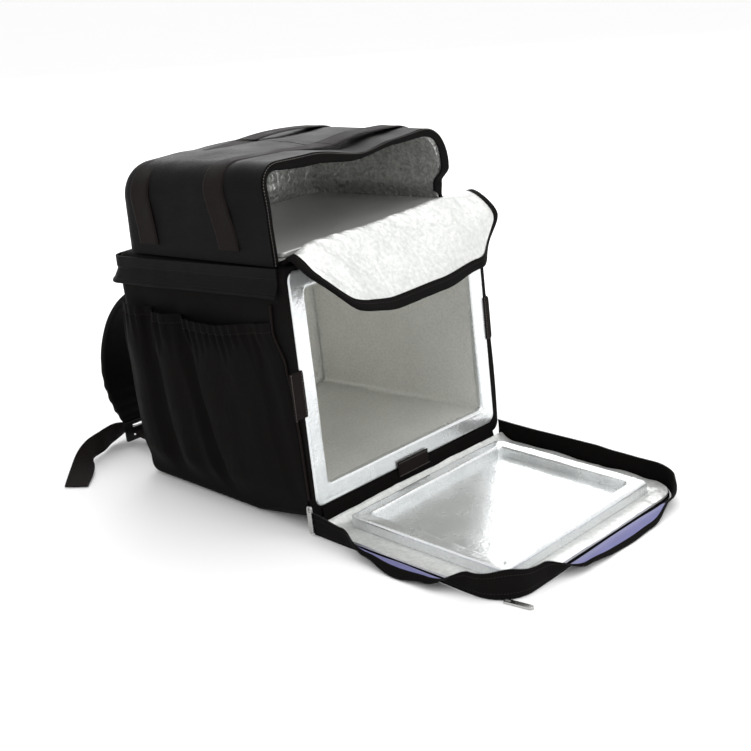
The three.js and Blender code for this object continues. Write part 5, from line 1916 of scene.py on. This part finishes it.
@dataclass(frozen=True)
class Straps:
    """The padded carrying straps with their anchors and loose lower webbing."""

    width: float = 66.0
    thickness: float = 12.0
    spacing: float = 280.0
    bow: float = 142.0
    head: float = 304.4
    buckle: float = 34.0
    plate: float = 6.0
    tape_width: float = 38.0
    tape: float = 2.0
    out: float = 196.0
    behind: float = 65.0
    seat: float = 42.0
    hang: float = 18.0
    gathers: int = 15
    anchor_length: float = 130.0
    loose_length: float = 290.0

    # Height and bow of the pad's middle line, as shares, from its head down
    STRAP = np.array([
        (1.0, 0.0), (0.975, 0.02), (0.93, 0.26), (0.86, 0.5), (0.74, 0.75), (0.56, 0.95),
        (0.39, 1.0), (0.26, 0.9), (0.17, 0.74),
    ])
    # Shares out, behind and up of the webbing's middle line, and the direction across it
    WEBBING = np.array([
        (0.0, 0.0, 1.0, 1, 0, 0), (0.0, 0.12, 1.0, 1, 0, 0.1),
        (0.05, 0.28, 0.96, 0.7, -0.5, 0.5), (0.2, 0.36, 0.86, 0.1, -0.3, 1),
        (0.38, 0.16, 0.83, 0, 0, 1), (0.5, 0.04, 0.83, 0, 0, 1),
        (0.57, -0.08, 0.82, 0.1, 0.1, 1), (0.66, -0.3, 0.7, 0.35, 0.4, 0.8),
        (0.81, -0.7, 0.4, 0.6, 0.7, 0.35), (0.97, -1.1, 0.08, 0.65, 0.75, 0),
    ])

    def buckle_place(self) -> tuple[float, float]:
        """Depth and height of the buckle's middle, under the lower end of the padded strap."""
        height, bow = self.STRAP[-1]
        return (DEPTH + GAP + self.thickness / 2 + bow * self.bow,
                height * self.head - self.buckle / 2)

    def build(self) -> None:
        """Builds the pad, the anchor and the loose webbing of both sides."""
        for side in Side:
            name = side.name.lower()
            self.pad(side, name)
            self.anchor(side, name)
            self.webbing(side, name)

    def band(
        self, name: str, at: np.ndarray, across: np.ndarray, width: np.ndarray,
        thickness: np.ndarray, base: np.ndarray, finish: Finish,
    ) -> bpy.types.Object:
        """A band carried along a line.

        Args:
            name: Name of the object.
            at: Points of its middle line in metres.
            across: Directions of its width.
            width: Width at each point in millimetres.
            thickness: Thickness at each point in millimetres.
            base: Its section for a width and a thickness of one.
            finish: Its finish.

        Returns:
            The object.
        """
        tangent = unit(np.gradient(at, axis=0))
        side = unit(across - np.sum(across * tangent, -1, keepdims=True) * tangent)
        up = np.cross(side, tangent)
        x = base[None, :, 0] * width[:, None] * MM
        y = base[None, :, 1] * thickness[:, None] * MM
        rings = at[:, None] + x[..., None] * side[:, None] + y[..., None] * up[:, None]
        return rings_mesh(name, rings, [finish])

    def tape_band(self, name: str, at: np.ndarray, across: np.ndarray) -> bpy.types.Object:
        """A webbing of even width along a line.

        Args:
            name: Name of the object.
            at: Points of its middle line in metres.
            across: Directions of its width.

        Returns:
            The object.
        """
        size = np.ones(len(at))
        return self.band(name, at, across, size * self.tape_width, size * self.tape,
                         section(1.0, 1.0, 0.02), WEBBING)

    def pad(self, side: Side, name: str) -> None:
        """A padded strap, pinched by gathers towards its lower end, with two lines of stitches.

        Args:
            side: The side.
            name: Its name.
        """
        height, bow = self.STRAP.T
        knots = np.stack([
            np.full(len(height), side.value * self.spacing / 2),
            DEPTH + GAP + self.thickness / 2 + bow * self.bow, height * self.head,
        ], -1)
        t = np.linspace(0.0, 1.0, 320)
        at = lean(curve(knots, t))
        pinch = smoothstep(t, 0.62, 0.8) * (1 - smoothstep(t, 0.97, 1.0))
        pinch = pinch * (1 + np.cos(2 * math.pi * self.gathers * t))
        thick = self.thickness * (1.0 - 0.13 * pinch)
        thick = thick * np.clip(8 * (1.0 - t) + 0.45, 0.45, 1.0) * np.clip(8 * t + 0.6, 0.6, 1.0)
        width = self.width * (1.0 - 0.02 * pinch)
        across = np.broadcast_to((1.0, 0.0, 0.0), at.shape)
        base = section(self.width, self.thickness, 4.5, 6) / (self.width, self.thickness)
        piece = self.band(f"shoulder_pad_{name}", at, across, width, thick, base, NYLON)
        place(piece, "nylon", f"shoulder_strap_{name}")
        tangent = unit(np.gradient(at, axis=0))
        up = np.cross(across, tangent)
        inner = slice(12, -12)
        lines = [
            (at[inner] + shift * self.width * MM * across[inner]
             + 0.5 * thick[inner, None] * MM * up[inner], up[inner])
            for shift in (-0.4, 0.4)
        ]
        place(stitches(f"strap_stitches_{name}", lines, THREAD), "nylon")

    def anchor(self, side: Side, name: str) -> None:
        """The short webbing from the bag's back foot to the buckle, in a hanging loop.

        Args:
            side: The side.
            name: Its name.
        """
        x = side.value * self.spacing / 2
        near = DEPTH + GAP + self.tape / 2
        depth, height = self.buckle_place()
        far = depth - self.plate - GAP - self.tape / 2
        v = np.linspace(0.0, 1.0, 80)[:, None]
        at = lean(cubic(
            np.array([x, near, self.seat]), np.array([x, near, self.hang]),
            np.array([x, far, self.hang]), np.array([x, far, height]), v,
        ))
        across = np.broadcast_to((1.0, 0.0, 0.0), at.shape)
        piece = self.tape_band(f"anchor_webbing_{name}", at, across)
        place(piece, "webbing", f"strap_anchor_{name}")

    def webbing(self, side: Side, name: str) -> None:
        """The loose lower webbing: it stands on its edge beside the bag, then lies flat.

        Args:
            side: The side.
            name: Its name.
        """
        depth, height = self.buckle_place()
        start = lean(np.array([side.value * self.spacing / 2, depth + GAP, height])) / MM
        out, behind, up, ax, ay, az = self.WEBBING.T
        knots = np.stack([
            start[0] + side.value * out * self.out, start[1] + behind * self.behind, start[2] * up,
        ], -1)
        directions = np.stack([ax, side.value * ay, side.value * az], -1)
        t = np.linspace(0.0, 1.0, 260)
        at = curve(knots, t) * MM
        piece = self.tape_band(f"loose_webbing_{name}", at, curve(directions, t))
        place(piece, "webbing", f"lower_webbing_{name}")


def finish_hard_parts() -> None:
    """Gives the zip pulls and buckles, which keep their plain solids, their own materials."""
    for node, finish in (
        ("zip_pull_hinge", ZINC), ("zip_pull_corner", ZINC), ("strap_buckle_left", PLASTIC),
        ("strap_buckle_right", PLASTIC),
    ):
        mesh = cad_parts[node].data
        mesh.materials.clear()
        mesh.materials.append(finish.material())
        log.info("%s: keeps its solid in %s", node, finish.name)


# Studio


class Studio:
    """A pale floor, soft light and the camera.

    Lights: name, side in metres, watts, place and aim. The camera's yaw, pitch, roll, place and
    focal length were fitted to the photo's corners, the last one in pixels of its width.
    """

    FLOOR_REACH = 60.0
    FLOOR_HEIGHT = -0.0004
    LIGHTS = (
        ("overhead_light", 3.0, 30.0, (0.8, -0.4, 3.0), (0.0, -0.1, 0.2)),
        ("back_light", 3.0, 95.0, (3.0, 3.2, 2.6), (0.0, 0.0, 0.4)),
        ("front_light", 1.2, 15.0, (0.6, -2.8, 1.0), (0.0, 0.0, 0.2)),
    )
    CAMERA_TURN = (-0.805078, 0.346460, -0.061104)
    CAMERA_PLACE = (-1.44301, -1.51638, 0.89115)
    FOCAL_PIXELS = 1357.11
    PHOTO_PIXELS = 751.0
    SENSOR_MM = 36.0

    def build(self) -> None:
        """Builds the floor, the lights and the camera."""
        self.floor()
        self.light()
        self.camera()

    def floor(self) -> None:
        """A wide flat floor just under the bag."""
        reach, under = self.FLOOR_REACH, self.FLOOR_HEIGHT
        mesh = bpy.data.meshes.new("studio_floor")
        mesh.from_pydata(
            [(-reach, -reach, under), (reach, -reach, under), (reach, reach, under),
             (-reach, reach, under)], [], [(0, 1, 2, 3)],
        )
        mesh.materials.append(PAPER.material())
        floor = link("studio_floor", mesh)
        floor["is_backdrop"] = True

    def light(self) -> None:
        """An even white world, with wide lights above and behind and a smaller one in front."""
        world = bpy.data.worlds.new("Studio_world")
        world.use_nodes = True
        tree = world.node_tree
        tree.nodes.clear()
        sky = add_node(tree, "ShaderNodeBackground", Color=(1.0, 1.0, 1.0, 1.0), Strength=1.0)
        add_node(tree, "ShaderNodeOutputWorld", Surface=sky.outputs["Background"])
        bpy.context.scene.world = world
        bpy.context.scene.view_settings.view_transform = "Standard"
        for name, size, power, spot, aim in self.LIGHTS:
            lamp = bpy.data.lights.new(name, "AREA")
            lamp.size = size
            lamp.energy = power
            light = link(name, lamp)
            back = unit(np.array(spot) - np.array(aim))
            right = unit(np.cross((0.0, 1.0, 0.0), back))
            set_axes(light, right, np.cross(back, right), back, spot)
            light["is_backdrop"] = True

    def camera(self) -> None:
        """The camera, solved from the corners of the box's mouth, the tray and the door."""
        yaw, pitch, roll = self.CAMERA_TURN
        back = np.array([math.sin(yaw) * math.cos(pitch), -math.cos(yaw) * math.cos(pitch),
                         math.sin(pitch)])
        right = unit(np.array([-back[1], back[0], 0.0]))
        up = np.cross(back, right)
        turned = math.cos(roll) * right + math.sin(roll) * up
        upward = -math.sin(roll) * right + math.cos(roll) * up
        lens = bpy.data.cameras.new("photo_camera")
        lens.sensor_width = self.SENSOR_MM
        lens.lens = self.SENSOR_MM * self.FOCAL_PIXELS / self.PHOTO_PIXELS
        lens.clip_end = 200.0
        camera = link("photo_camera", lens)
        set_axes(camera, turned, upward, back, self.CAMERA_PLACE)
        bpy.context.scene.camera = camera


def set_axes(
    thing: bpy.types.Object, right: np.ndarray, up: np.ndarray, back: np.ndarray,
    spot: Sequence[float],
) -> None:
    """Places a light or a camera.

    Args:
        thing: The light or camera.
        right: Its own right.
        up: Its own up.
        back: The way it faces away from.
        spot: Its place in metres.
    """
    matrix = np.identity(4)
    matrix[:3, 0], matrix[:3, 1], matrix[:3, 2], matrix[:3, 3] = right, up, back, spot
    thing.matrix_world = Matrix(matrix.tolist())


def main() -> None:
    """Builds the studio and every sub-assembly."""
    Studio().build()
    for builder in (Shell(), SilverBox(), Skirt(), SidePocket(), Hood(), Flap(), Door(), Tabs(),
                    Straps()):
        builder.build()
    finish_hard_parts()
    boxes = (packed_size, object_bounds())
    [[[float(v) for v in corner] for corner in box] for box in boxes]


if __name__ == "__main__":
    logging.basicConfig(level=logging.INFO, format="%(message)s")
    main()
